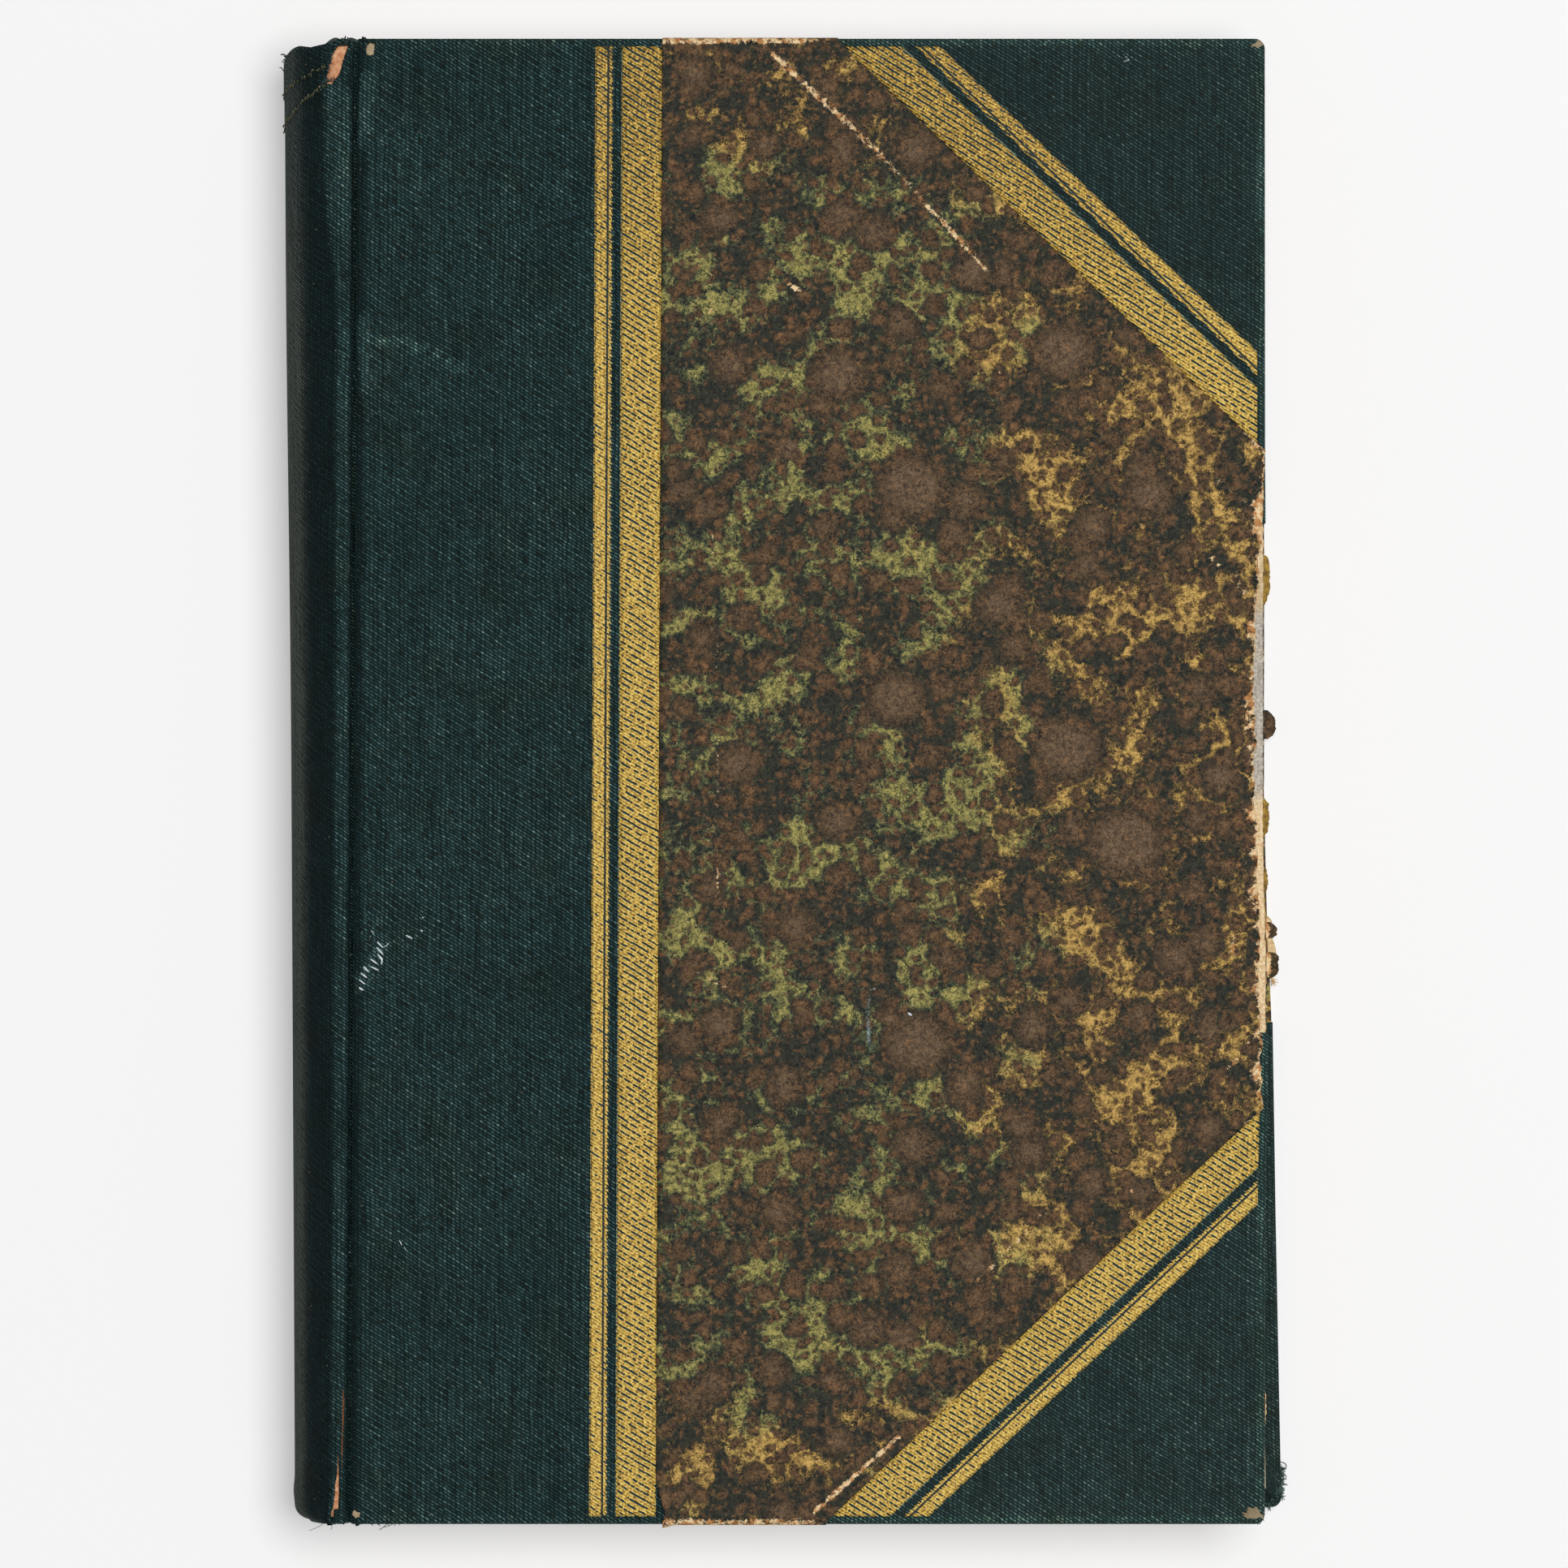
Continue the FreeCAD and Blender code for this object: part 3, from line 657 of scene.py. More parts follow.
class Cover:
    """One cover's sizes and outlines, in its own frame."""

    def __init__(self, side):
        self.side = side
        self.upper = UPPER[side]
        self.place = PLACES[side]
        self.lean = SKEW / BOARD_H * (1 if self.upper == "head" else -1)
        self.seed = SEEDS[side]
        self.body = side + "_cover"
        self.width = BOARD_W + FORE_SHIFT[side]

    def sign(self, end):
        return 1 if end == self.upper else -1

    def hinge(self, y):
        return self.lean * y

    def paper_left(self, y):
        return QUARTER + self.hinge(y)

    def diagonal(self, end, moved=0.0):
        """The two ends of a corner's diagonal, moved inwards: on the head or tail edge, and on the
        fore edge."""
        wide, deep = CORNER_SIZE[end]
        s = self.sign(end)
        slant = math.hypot(wide, deep)
        first = Vector((self.width - wide - moved * slant / deep, s * HALF))
        last = Vector((self.width, s * (HALF - deep - moved * slant / wide)))
        return first, last

    def from_diagonal(self, end, x, y):
        """How far inside the paper's field a point lies from a corner's diagonal."""
        first, last = self.diagonal(end)
        along = (last - first).normalized()
        off = Vector((x, y)) - first
        return (off.y * along.x - off.x * along.y) * self.sign(end)

    def paper_right(self, y):
        """Where the paper ends at a height y, before any wear."""
        right = self.width
        for end in ("head", "tail"):
            first, last = self.diagonal(end)
            s = self.sign(end)
            if s * y > s * last.y:
                share = (y - first.y) / (last.y - first.y)
                right = min(right, first.x + (last.x - first.x) * share)
        return right


def level_over_cloth(cover, x, y):
    """The height of the paper's underside: the cloth's thickness over its edge, then the board."""
    diagonals = [cover.from_diagonal(end, x, y) for end in ("head", "tail")]
    inside = min(x - cover.paper_left(y), *diagonals)
    uneven = 0.5 * wobble(x, y, 0.15, 2.5)
    return CLOTH * (1 - ease(OVERLAP - 0.2, OVERLAP + RISER, inside + uneven)), inside


# Where the paper is worn back from the fore edge: (height, how far), for each cover.
WEAR = {
    "front": [
        (-49.9, 0.3), (-46, 0.7), (-38, 0.8), (-30, 1.2), (-20, 1), (-8, 0.9), (-3, 1.5), (6, 1.2),
        (14, 1.5), (22, 1.5), (27.5, 1.1), (29, 1), (35.4, 0.9), (36.4, 0.3), (41.5, 0.1), (44.5, -0.1),
        (48, -0.3), (51, -0.6),
    ],
    "back": [
        (-50, 0.2), (-40, 0.8), (-26, 1.4), (-10, 0.8), (0, 1.7), (12, 1.9), (26, 1.3), (36, 0.7),
        (44, 0.2), (51, -0.6),
    ],
}


def worn_back(cover, y):
    """How far the paper has worn back from the fore edge at a height y."""
    base = float(np.interp(y, *zip(*WEAR[cover.side])))
    rag = 0.45 * wobble(0.0, y, 0.17, cover.seed, 4) + 0.4 * wobble(0.0, y, 0.6, cover.seed, 3)
    rag += 0.14 * wobble(5.0, y, 2.2, cover.seed, 2)
    return base + rag * min(1.0, 0.35 + abs(base))


# ---- boards ----


def outline_of(cover, inset):
    """Points round the board, moved in by an inset, with outward directions."""
    points = []

    def run(start, stop, count, direction):
        for i in range(count):
            p = Vector(start).lerp(Vector(stop), i / count)
            points.append((p - Vector(direction) * inset, Vector(direction)))

    def arc(centre, first_angle, count=8):
        for i in range(count):
            a = first_angle + math.pi / 2 * i / count
            d = Vector((math.cos(a), math.sin(a)))
            points.append((Vector(centre) + d * max(CORNER_R - inset, 0.02), d))

    tail_x, head_x = cover.hinge(-HALF), cover.hinge(HALF)
    x, y = cover.width - CORNER_R, HALF - CORNER_R
    run((tail_x, -HALF), (x, -HALF), 100, (0, -1))
    arc((x, -y), -math.pi / 2)
    run((cover.width, -y), (cover.width, y), 420, (1, 0))
    arc((x, y), 0.0)
    run((x, HALF), (head_x, HALF), 100, (0, 1))
    run((head_x, HALF), (tail_x, -HALF), 120, (-1, 0))
    return points


def make_board(cover):
    """A board with soft, knocked edges, bare and rough where its paper is worn away."""
    quarter = [(EDGE_R * (1 - math.sin(a)), -EDGE_R * (1 - math.cos(a))) for a in (0.5, 1.05, math.pi / 2)]
    insets = [(6.0, 0.0), (2.0, 0.0), (EDGE_R, 0.0), *quarter]
    insets += [(0.0, -BOARD_T * part) for part in (0.32, 0.5, 0.68)]
    insets += [(inset, -BOARD_T - z) for inset, z in reversed(quarter)]
    insets += [(EDGE_R, -BOARD_T), (6.0, -BOARD_T)]
    rings = []
    for inset, z in insets:
        ring = []
        for p, d in outline_of(cover, inset):
            out = -0.01
            if inset < 1.5 and d.x > 0.9:
                out += ease(52, 48, abs(p.y)) * (0.16 * wobble(p.y, z * 2, 1.1, cover.seed) - 0.05)
            ring.append((p.x + d.x * out, p.y + d.y * out, z))
        rings.append(ring + ring[:1])
    grid = np.array(rings)
    flats = grid[..., :2].copy()
    flats[..., 0] += grid[..., 2]
    cream = [[cream_edge(cover, p) for p in ring] for ring in grid]
    name = cover.side + "_board_worn"
    board = sheet_object(name, grid, {"Cloth": flats}, "board", cover.place, flip=True, ochre=cream)
    cap_board(board.data, len(rings[0]), len(rings))
    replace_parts(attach(board, cover.body), cover.side + "_board")


def cream_edge(cover, point):
    """Warm paper fibres still on the board, except in the middle where it is bare and grey."""
    y = point[1] if cover.side == "front" else -point[1]
    grey = ease(-4.0, 0.0, y) * ease(28.0, 25.0, y) if point[0] > cover.width / 2 else 0.0
    return max(0.0, 1.0 - grey + 0.2 * wobble(point[0], y, 0.3, cover.seed))


def cap_board(mesh, around, rings):
    """Closes the board's two faces and joins the strip's ends."""
    work = opened(mesh)
    for start in (0, (rings - 1) * around):
        loop = [work.verts[start + i] for i in range(around - 1)]
        face = work.faces.new(loop if start else loop[::-1])
        face.smooth = False
    bmesh.ops.remove_doubles(work, verts=work.verts, dist=2e-6)
    bmesh.ops.recalc_face_normals(work, faces=work.faces)
    work.to_mesh(mesh)
    work.free()


# ---- the marbled sides ----


def make_marbled(cover):
    """The paper over the board and the edges of the cloth: worn ragged along the fore edge and
    turned in at the head and tail."""
    flat_rows = list(np.linspace(-HALF + EDGE_R, HALF - EDGE_R, 400))
    turns = turn_steps(PAPER, TURN_IN)
    before = [(-HALF + EDGE_R - e, -1, e) for e in reversed(turns[1:])]
    after = [(HALF - EDGE_R + e, 1, e) for e in turns[1:]]
    grid, flats, marks = [], [], []
    for flat_y, s, e in before + [(y, 0, 0.0) for y in flat_rows] + after:
        y = min(max(flat_y, -HALF), HALF)
        left = cover.paper_left(y) + 0.12 * wobble(3.0, y, 0.6, cover.seed) + lifted_edge(cover, y)
        right = cover.paper_right(y)
        if right > cover.width - 0.01:
            right = cover.width - worn_back(cover, y)
        else:
            right += 0.12 * wobble(9.0, y, 0.6, cover.seed)
        line = []
        for share in np.linspace(0, 1, 92):
            x = left + (right - left) * share
            level, inside = level_over_cloth(cover, x, y)
            out = level + PAPER + 0.03 * wobble(x, y, 0.08, 4.0) * ease(0, 3, inside)
            out += curl(cover, x, y)
            if s:
                reach, z = profile(e, out)
                line.append((x, s * (HALF + reach), z))
            elif x > cover.width - EDGE_R:
                reach, z = profile(x - (cover.width - EDGE_R), out)
                line.append((cover.width + reach, y, z))
            else:
                line.append((x, y, out))
            flats.append((x, flat_y))
            marks.append(marbling_marks(cover, x, y, inside, right, flat_y))
        grid.append(line)
    marks = dict(zip(("drop", "vein", "ochre", "scar", "frost"), np.array(marks).T))
    name = cover.side + "_marbled_paper"
    paper = sheet_object(name, grid, {"Cloth": flats}, "marbled", cover.place, PAPER_DRAWN, **marks)
    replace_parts(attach(paper, cover.body), cover.side + "_marbled_side")
    make_fore_turn(cover)


def make_fore_turn(cover):
    """What is left of the paper round the fore edge and the part turned in under the pastedown."""
    low, high = sorted(cover.diagonal(end)[1].y for end in ("tail", "head"))
    total = turn_length(PAPER)
    grid, flats = [], []
    for y in np.linspace(low, high, 300):
        start = 1.6 + 0.5 * wobble(2.0, y, 0.3, cover.seed + 5.0, 4)
        start += 0.25 * wobble(2.0, y, 1.7, cover.seed, 2)
        line = []
        for e in [*np.linspace(start, total, 10), total + 1.0, total + 3.0, total + TURN_IN]:
            reach, z = profile(e, PAPER)
            line.append((cover.width + reach, y, z))
            flats.append((cover.width + e, y))
        grid.append(line)
    name = cover.side + "_marbled_turn_in"
    marks = {"drop": NO_DROP, "vein": 0.1, "ochre": 0.6, "scar": [0.35] + [0.0] * 12, "frost": 0.0}
    turned = sheet_object(name, grid, {"Cloth": flats}, "marbled", cover.place, PAPER_DRAWN, **marks)
    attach(turned, cover.body)


# The largest drops and the open patches of vein on the front: (x, y, radius), from the frame's middle.
BIG_DROPS = [
    (19.8, 45.3, 6.6), (8.6, 62.5, 5.6), (52.6, -9.4, 7), (20.5, -40.3, 6.4), (43.6, 5, 6.4), (43, 66, 6),
    (-7.3, 2.7, 4.4), (17.3, 12.8, 5.6), (20, -55.8, 4.2), (43.6, -33.6, 3.6), (-15.3, -39.6, 3.6),
    (-13.6, 108.6, 4), (56, 44, 5), (-8, 64, 4.2), (-10.6, 86, 3.4), (-6.2, 25.2, 3.2), (-15.5, 44.8, 3.4),
    (20.3, 97, 4.4), (14, 84.4, 4), (33, 27, 4.6), (28, 43, 4.2), (8.4, -6, 4.4), (38, -57, 4),
    (13, -84, 4), (-14, -95, 3.6), (2, -22, 4.2), (60, -27, 4.2), (64, 14, 3.6),
]
PATCHES = [
    (12.8, 79, 4.5), (20.5, 72, 3), (28, 70.8, 5), (36, 68.5, 4), (-4, 62, 3.6), (2.4, 59.6, 3.6),
    (12.5, 53.6, 3.4), (-15, 79.5, 3.6), (23, 31, 4.5), (19, 34.6, 3.6), (7.2, 43.6, 3.2), (41, 44, 4.6),
    (62, 50.5, 4.2), (66, 42, 3.4), (-2.6, 29.5, 4.2), (33.6, 12.4, 3.6), (38, 8, 3), (2.4, -11.6, 4.6),
    (9, -11, 3.4), (26.4, -3.6, 5.4), (33.5, -8.5, 3.6), (22.4, -16.5, 3.8), (68, 1.5, 4.4),
    (64.5, -5, 3.4), (-10.2, -15, 3.6), (-12.6, -27, 4.6), (46, -24.4, 4.4), (48.8, -35, 3.4),
    (-4, -58, 5.2), (-12.8, -59.6, 4.6), (-4, -76, 4.6), (14.5, -71, 5.4), (10, -66, 3.6), (1.6, -85.6, 4),
    (35.6, -71.8, 4.4), (40.6, -68, 4), (56.5, -57.6, 4.6), (-14.6, -105, 3.6), (-2, -100.6, 3.4),
    (52, 22, 3.6), (58.5, 30, 3.6), (-14.6, 14, 3.4), (-9, 96, 3), (60, 60, 4), (46, 22.5, 2.6),
    (20, -28.6, 3), (28.4, -34, 3.2), (60, -44, 3.8), (53, -47.6, 3.4), (37.4, -43.6, 3),
]
MARBLE_MIDDLE = 65.6
BACK_MIRROR = 52.0  # the back repeats the front's marbling, mirrored and shifted by this much
NO_DROP = -9.0  # the depth of a place that lies in no drop


def marbling_marks(cover, x, y, inside, right, flat_y):
    """Where drops, veins, warm tones, bared fibres and a pale scuff lie at a point of the paper."""
    px, py = x - MARBLE_MIDDLE, y
    if cover.side == "back":
        px, py = BACK_MIRROR - px, -y
    drop = NO_DROP
    for cx, cy, r in BIG_DROPS:
        drop = max(drop, r - math.hypot(px - cx, (py - cy) * 1.1))
    vein = -0.3
    for cx, cy, r in PATCHES:
        vein = max(vein, 1.15 * (1 - math.hypot(px - cx, py - cy) / (r * 1.5)) - 0.35)
    ochre = ease(8, 60, px) + ease(84, 106, abs(y)) * 0.75
    edge = right - x
    scar = 0.62 * ease(0.7, 0.0, edge) if edge < 1 and right > cover.width - 3 else 0.0
    if right > cover.width - 3:
        patchy = ease(-0.1, 0.45, wobble(px, y, 0.32, 5.0))
        scar = max(scar, 0.8 * ease(3.0, 0.2, edge) * patchy)
    rubbed = ease(10.0, 2.0, px) + 0.35 * ease(0.2, 0.7, wobble(px, 3.0, 0.2, cover.seed))
    scar = max(scar, 0.58 * min(rubbed, 1.0) * ease(1.2, 0.1, HALF - abs(flat_y)))
    scar = max(scar, 0.3 * ease(0.9, 0.0, abs(inside - OVERLAP - 0.4)))
    for *line, strength, reach in SCARS if cover.side == "front" else ():
        scar = max(scar, strength * ease(reach, reach * 0.15, segment_distance(px, py, line)))
    frost = 0.0
    for *line, strength in FROSTS if cover.side == "front" else ():
        frost = max(frost, strength * ease(1.1, 0.1, segment_distance(px, py, line)))
    return drop, vein, ochre, scar, frost


# Abraded places on the front's paper: (x, y, x, y, strength, reach), and scuffs without a reach.
SCARS = [
    (-11.2, 78, -10.6, 66, 0.36, 0.75), (-10.6, 58, -11.2, 48, 0.26, 0.75),
    (-11, 40, -10.4, 28, 0.36, 0.75), (-10.6, 24, -9.6, 17, 0.42, 0.75), (-9.8, 6, -10.2, -4, 0.36, 0.75),
    (-10.4, -12, -10, -18, 0.45, 0.75), (-1.5, 111.4, 10, 100.9, 0.56, 1.1), (10, 100.9, 17, 94, 0.52, 1),
    (17, 94, 22, 88.5, 0.4, 0.8), (22, 88.5, 31, 78.6, 0.6, 0.85), (40.6, -65.6, 28.6, -78, 0.4, 0.75),
    (17.6, -100.6, 4.8, -112, 0.62, 0.75), (31.6, 66, 33.6, 62, 0.42, 0.75),
    (1, 76.2, 2.2, 75.4, 0.8, 0.75), (-13, -29, -9, -31.6, 0.5, 0.75), (73.6, 44.2, 73, 41, 0.85, 1.5),
    (73, 41, 73.4, 37.4, 0.95, 1.7), (66, 46.5, 73, 41.5, 0.42, 0.9), (69, 31.6, 70.6, 28.8, 0.6, 0.8),
    (65.5, 34.4, 66.6, 33, 0.6, 0.7), (69.2, -23, 68.4, -26.4, 0.55, 0.8), (73.4, 34, 73.4, 28, 0.8, 0.8),
    (67.2, -44.6, 72.8, -38.6, 0.45, 0.8), (-9.6, 42.6, -8.6, 34, 0.28, 0.8),
    (70, -10, 71.4, -19, 0.3, 0.9),
]
FROSTS = [
    (13.6, -31.6, 12.8, -37, 0.5), (12.8, -37, 13.6, -41, 0.6), (12, -44, 9, -52, 0.4),
]


def segment_distance(px, py, line):
    """The distance to the nearest point of a line."""
    ax, ay, bx, by = line
    dx, dy = bx - ax, by - ay
    t = min(max(((px - ax) * dx + (py - ay) * dy) / (dx * dx + dy * dy), 0.0), 1.0)
    return math.hypot(px - ax - t * dx, py - ay - t * dy)


def lifted_edge(cover, y):
    """The paper's edge beside the gilt is torn back a little near the tail."""
    if cover.side == "back":
        return 0.0
    return 1.7 * ease(-106.0, -113.0, y) * (0.75 + 0.4 * wobble(1.0, y, 0.7, 8.0))


def curl(cover, x, y):
    """The torn tail of the paper's edge stands up slightly."""
    if cover.side == "back":
        return 0.0
    beside = ease(2.2, 0.0, x - cover.paper_left(y) - lifted_edge(cover, y))
    return 0.45 * beside * ease(-106.5, -111.0, y)


# ---- cloth corners ----


def corner_path(cover, end, inset):
    """From the diagonal's end on the head or tail edge, round the board's corner, to its end on the
    fore edge: points on the board's outline, with their outward directions."""
    first, last = cover.diagonal(end, OVERLAP)
    s = cover.sign(end)
    x, y = cover.width - CORNER_R, HALF - CORNER_R
    points = []
    count = 60
    for i in range(count):
        near = 1 - (1 - i / count) ** 1.5
        points.append((Vector((first.x + (x - first.x) * near, s * (HALF - inset))), Vector((0, s))))
    for i in range(11):
        a = math.pi / 2 * (1 - i / 10)
        d = Vector((math.cos(a), s * math.sin(a)))
        points.append((Vector((x, s * y)) + d * (CORNER_R - inset), d))
    for i in range(1, count + 1):
        far = (i / count) ** 1.5
        points.append((Vector((cover.width - inset, s * (y + (s * last.y - y) * far))), Vector((1, 0))))
    return points


def edge_run(cover, p, d):
    """How far a point on one edge of the board lies from the other edge of the same corner."""
    return cover.width - p.x if abs(d.y) > 0.5 else HALF - abs(p.y)


def make_corner(cover, end):
    """A cloth corner, pulled tight round the board's corner and turned in on both sides."""
    path = corner_path(cover, end, EDGE_R)
    first, last = cover.diagonal(end, OVERLAP)
    inner = list(1 - (1 - np.linspace(0, 1, 26)) ** 1.7)[:-1]
    turn_in = TURN_IN * 0.9
    base_rub = 0.14 if (cover.side, end) == ("front", "tail") else 0.0
    grid, flats, rubs, bares = [], [], [], []
    for k, (p, d) in enumerate(path):
        start = first.lerp(last, k / (len(path) - 1))
        start.x = min(start.x, cover.width - 2 * EDGE_R)
        start.y = cover.sign(end) * min(abs(start.y), HALF - 2 * EDGE_R)
        line = []
        for share in inner:
            q = start.lerp(p, share)
            line.append((q.x, q.y, CLOTH + 0.02 * wobble(q.x, q.y, 0.1, 6.0)))
            flats.append((q.x, q.y))
            edge = (p - q).length
            rubs.append(base_rub + 0.46 * ease(1.3, 0.2, edge) + 0.1 * ease(8.0, 0.0, edge))
            bares.append(tip_wear(cover, end, q))
        for e in turn_steps(CLOTH, turn_in):
            reach, z = profile(e, CLOTH)
            past = max(e - turn_length(CLOTH), 0.0)
            if 0.01 < abs(d.x) < 0.99:
                mitre = min(cover.width - p.x, HALF - abs(p.y))
            else:
                mitre = edge_run(cover, p, d)
            share = min(1.0, (max(mitre, CORNER_R) - EDGE_R) / turn_in)
            q = p + d * (-past * share if past else reach + EDGE_R)
            line.append((q.x, q.y, z))
            flats.append((p.x + d.x * e, p.y + d.y * e))
            rubs.append(0.4 * ease(2.6, 0.0, e) + 0.12)
            bares.append(tip_wear(cover, end, p + d * EDGE_R) * ease(3.5, 1.0, e))
        grid.append(line)
    name = f"{cover.side}_{end}_corner"
    corner = sheet_object(
        name + "_cloth", grid, {"Cloth": flats}, "corner_cloth", cover.place, CLOTH_DRAWN,
        flip=cover.sign(end) > 0, rub=rubs, bare=bares, fade=0.0,
    )
    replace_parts(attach(corner, cover.body), name)


def tip_wear(cover, end, q):
    """The cloth is through to the board beside the corner's tip."""
    inward, size = {"head": (0.5, 0.55), "tail": (1.5, 1.05)}[end]
    middle = Vector((cover.width - inward, cover.sign(end) * (HALF - inward)))
    away = math.hypot((q.x - middle.x) * 0.8, (q.y - middle.y) * 1.2) + 0.7 * wobble(q.x, q.y, 0.9, 2.0, 4)
    return 0.95 * ease(size + 0.5, size * 0.6, away)


# ---- gilt ----


def make_gilt(cover):
    """Foil strips on the cloth beside the paper: a broad band, and a line with a finer one."""
    strips = []
    for low, high in (BAND, LINE):
        strips.append(panel_strip(cover, low, high))
        for end in ("head", "tail"):
            strips.append(corner_strip(cover, end, low, high))
    marks = {"rub": 0.1, "bare": 0.0, "fade": 0.0, "loss": 0.0}
    parts = [
        sheet_object(f"{cover.side}_gilt_{k}", grid, flats, "gilt", cover.place, flip=turned, **marks)
        for k, (grid, flats, turned) in enumerate(strips)
    ]
    gilt = joined(parts, cover.side + "_gilt")
    thicken(gilt, FOIL)
    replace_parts(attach(gilt, cover.body), cover.side + "_gilt_lines")


def joined(parts, name):
    """Several meshes as one object."""
    with bpy.context.temp_override(active_object=parts[0], selected_editable_objects=parts):
        bpy.ops.object.join()
    parts[0].name = name
    parts[0].data.name = name
    return parts[0]


def panel_strip(cover, low, high):
    """A strip of foil beside the paper's left edge: its points, its maps and whether it is flipped."""
    heights = np.linspace(-HALF + FOIL_MARGIN, HALF - FOIL_MARGIN, 240)
    aways = np.linspace(high, low, 7)
    grid = [[(cover.paper_left(y) - a, y, CLOTH + FOIL) for a in aways] for y in heights]
    return np.array(grid), foil_maps(grid, aways, heights), False


def foil_maps(grid, aways, runs):
    """Where the strip lies flat, and each point's distance from the paper and place along the strip."""
    away = np.broadcast_arrays(aways[None, :], np.asarray(runs)[:, None])
    return {"Cloth": np.array(grid)[..., :2], "Gilt": np.stack(away, -1)}


def corner_strip(cover, end, low, high):
    """The same beside a cloth corner's diagonal."""
    first, last = cover.diagonal(end)
    s = cover.sign(end)
    along = (last - first).normalized()
    out = Vector((-along.y, along.x)) * s
    aways = np.linspace(low, high, 7)
    runs = np.linspace(0, 1, 100)
    grid = []
    for share in runs:
        line = []
        for a in aways:
            near = (HALF - FOIL_MARGIN - s * (first.y + out.y * a)) / (s * along.y)
            far = (cover.width - FOIL_MARGIN - first.x - out.x * a) / along.x
            q = first + out * a + along * (near + (far - near) * share)
            line.append((q.x, q.y, CLOTH + FOIL))
        grid.append(line)
    return np.array(grid), foil_maps(grid, aways, runs * 80), s > 0


# ---- the cloth over the spine and the quarters ----


def joint_axis(side):
    """The tail and head ends of a joint's axis, in millimetres."""
    cover = COVERS[side]
    out = CLOTH + JOINT_GAP
    ends = [cover.place @ Vector((cover.hinge(y) - out, y, 0)) for y in (-HALF, HALF)]
    level = BOOK_TOP if side == "front" else 0.0
    return sorted([Vector((p.x, p.y, level)) for p in ends], key=lambda p: p.y)


COVERS = {side: Cover(side) for side in PLACES}
AXES = {side: joint_axis(side) for side in PLACES}
WAY = {"front": -1, "back": 1}  # inwards along Z from each outer face


def on_axis(side, share):
    """A point of a joint's axis: share runs from the tail to the head."""
    tail, head = AXES[side]
    return tail.lerp(head, share)


def crest_end(side, share):
    """Where a ridge of the spine ends and its round starts."""
    return on_axis(side, share) + Vector((-RIDGE_W, 0, WAY[side] * RIDGE_DROP))


def round_point(share, t, depth=0.0):
    """On the spine's round: t runs from the front ridge to the back one."""
    front, back = crest_end("front", share), crest_end("back", share)
    bulge = ROUND_TAIL + (ROUND_HEAD - ROUND_TAIL) * share
    chord = front - back
    long = math.hypot(chord.x, chord.z)
    radius = long ** 2 / (8 * bulge) + bulge / 2
    outward = Vector((-chord.z, 0, chord.x)).normalized()
    middle = (front + back) / 2
    centre = middle - outward * (radius - bulge)
    a = math.atan2(front.z - centre.z, front.x - centre.x)
    b = math.atan2(back.z - centre.z, back.x - centre.x)
    if b < a:
        b += 2 * math.pi
    angle = a + (b - a) * t
    ray = Vector((math.cos(angle), 0, math.sin(angle)))
    point = centre + ray * (radius - depth)
    point.y = front.y + (back.y - front.y) * t
    return point


ARC_POINTS = 30


def half_section(side, share):
    """The cloth's outer face across the book at one station along the spine, from the middle of the
    spine over the ridge, through the groove and up on to the board's edge."""
    joint = on_axis(side, share)
    end = 0.0 if side == "front" else 1.0
    points = []
    for i in range(ARC_POINTS):
        near = 1 - (1 - i / ARC_POINTS) ** 1.6
        points.append(round_point(share, 0.5 + (end - 0.5) * near))

    def put(dx, drop):
        points.append(joint + Vector((dx, 0, WAY[side] * drop)))

    wall, soft, bed, big = -JOINT_GAP, 0.75, GROOVE - JOINT_GAP, EDGE_R + CLOTH
    for t in np.arange(8) / 8:  # over the ridge
        put(-RIDGE_W + (RIDGE_W + wall - soft) * t, RIDGE_DROP - 0.06 * math.sin(math.pi * t))
    for a in np.arange(6) * math.pi / 12:  # round its shoulder
        put(wall - soft + soft * math.sin(a), RIDGE_DROP + soft * (1 - math.cos(a)))
    for t in np.arange(5) / 5:  # down the groove's wall
        put(wall, RIDGE_DROP + soft + (bed - RIDGE_DROP - soft) * t)
    for a in np.arange(7) * math.pi / 7:  # across its bed
        put(-JOINT_GAP * math.cos(a), bed + JOINT_GAP * math.sin(a))
    for t in np.arange(5) / 5:  # up beside the board
        put(JOINT_GAP, bed - (bed - PAPER - big) * t)
    for a in np.arange(6) * math.pi / 12:  # and over its edge
        put(JOINT_GAP + big * (1 - math.cos(a)), PAPER + big * (1 - math.sin(a)))
    return points


def panel_point(cover, x, share, z=CLOTH):
    """A point of a board's face, in the shared frame: x from the hinge edge, share from tail to head."""
    y = (share - 0.5) * BOARD_H * -WAY[cover.side]
    return cover.place @ Vector((x + cover.hinge(y), y, z))


# The tears over the front ridge: the runs of the columns that become their lips, and (height, left
# lip, right lip) in millimetres from above.
TEARS = [
    ((-9, -7.1), [
        (107.2, -70.25, -69.2), (107.6, -70.4, -68.85), (108.4, -70.2, -68.05), (109.9, -69.85, -67.6),
        (111.1, -69.45, -67.2), (112.1, -69.1, -66.85), (112.8, -68.5, -66.55), (113.1, -68.3, -66.45),
    ]),
    ((-7.35, -6.75), [
        (-113.7, -69.66, -68.24), (-112.02, -69.61, -68.2), (-111.52, -69.24, -68.19),
        (-109.28, -68.93, -68.1), (-108.03, -68.9, -68.07), (-106.16, -68.56, -68.14),
        (-101.56, -68.34, -68.28),
    ]),
]
LIP_REACH = 9
LIP_LIFT = 0.16


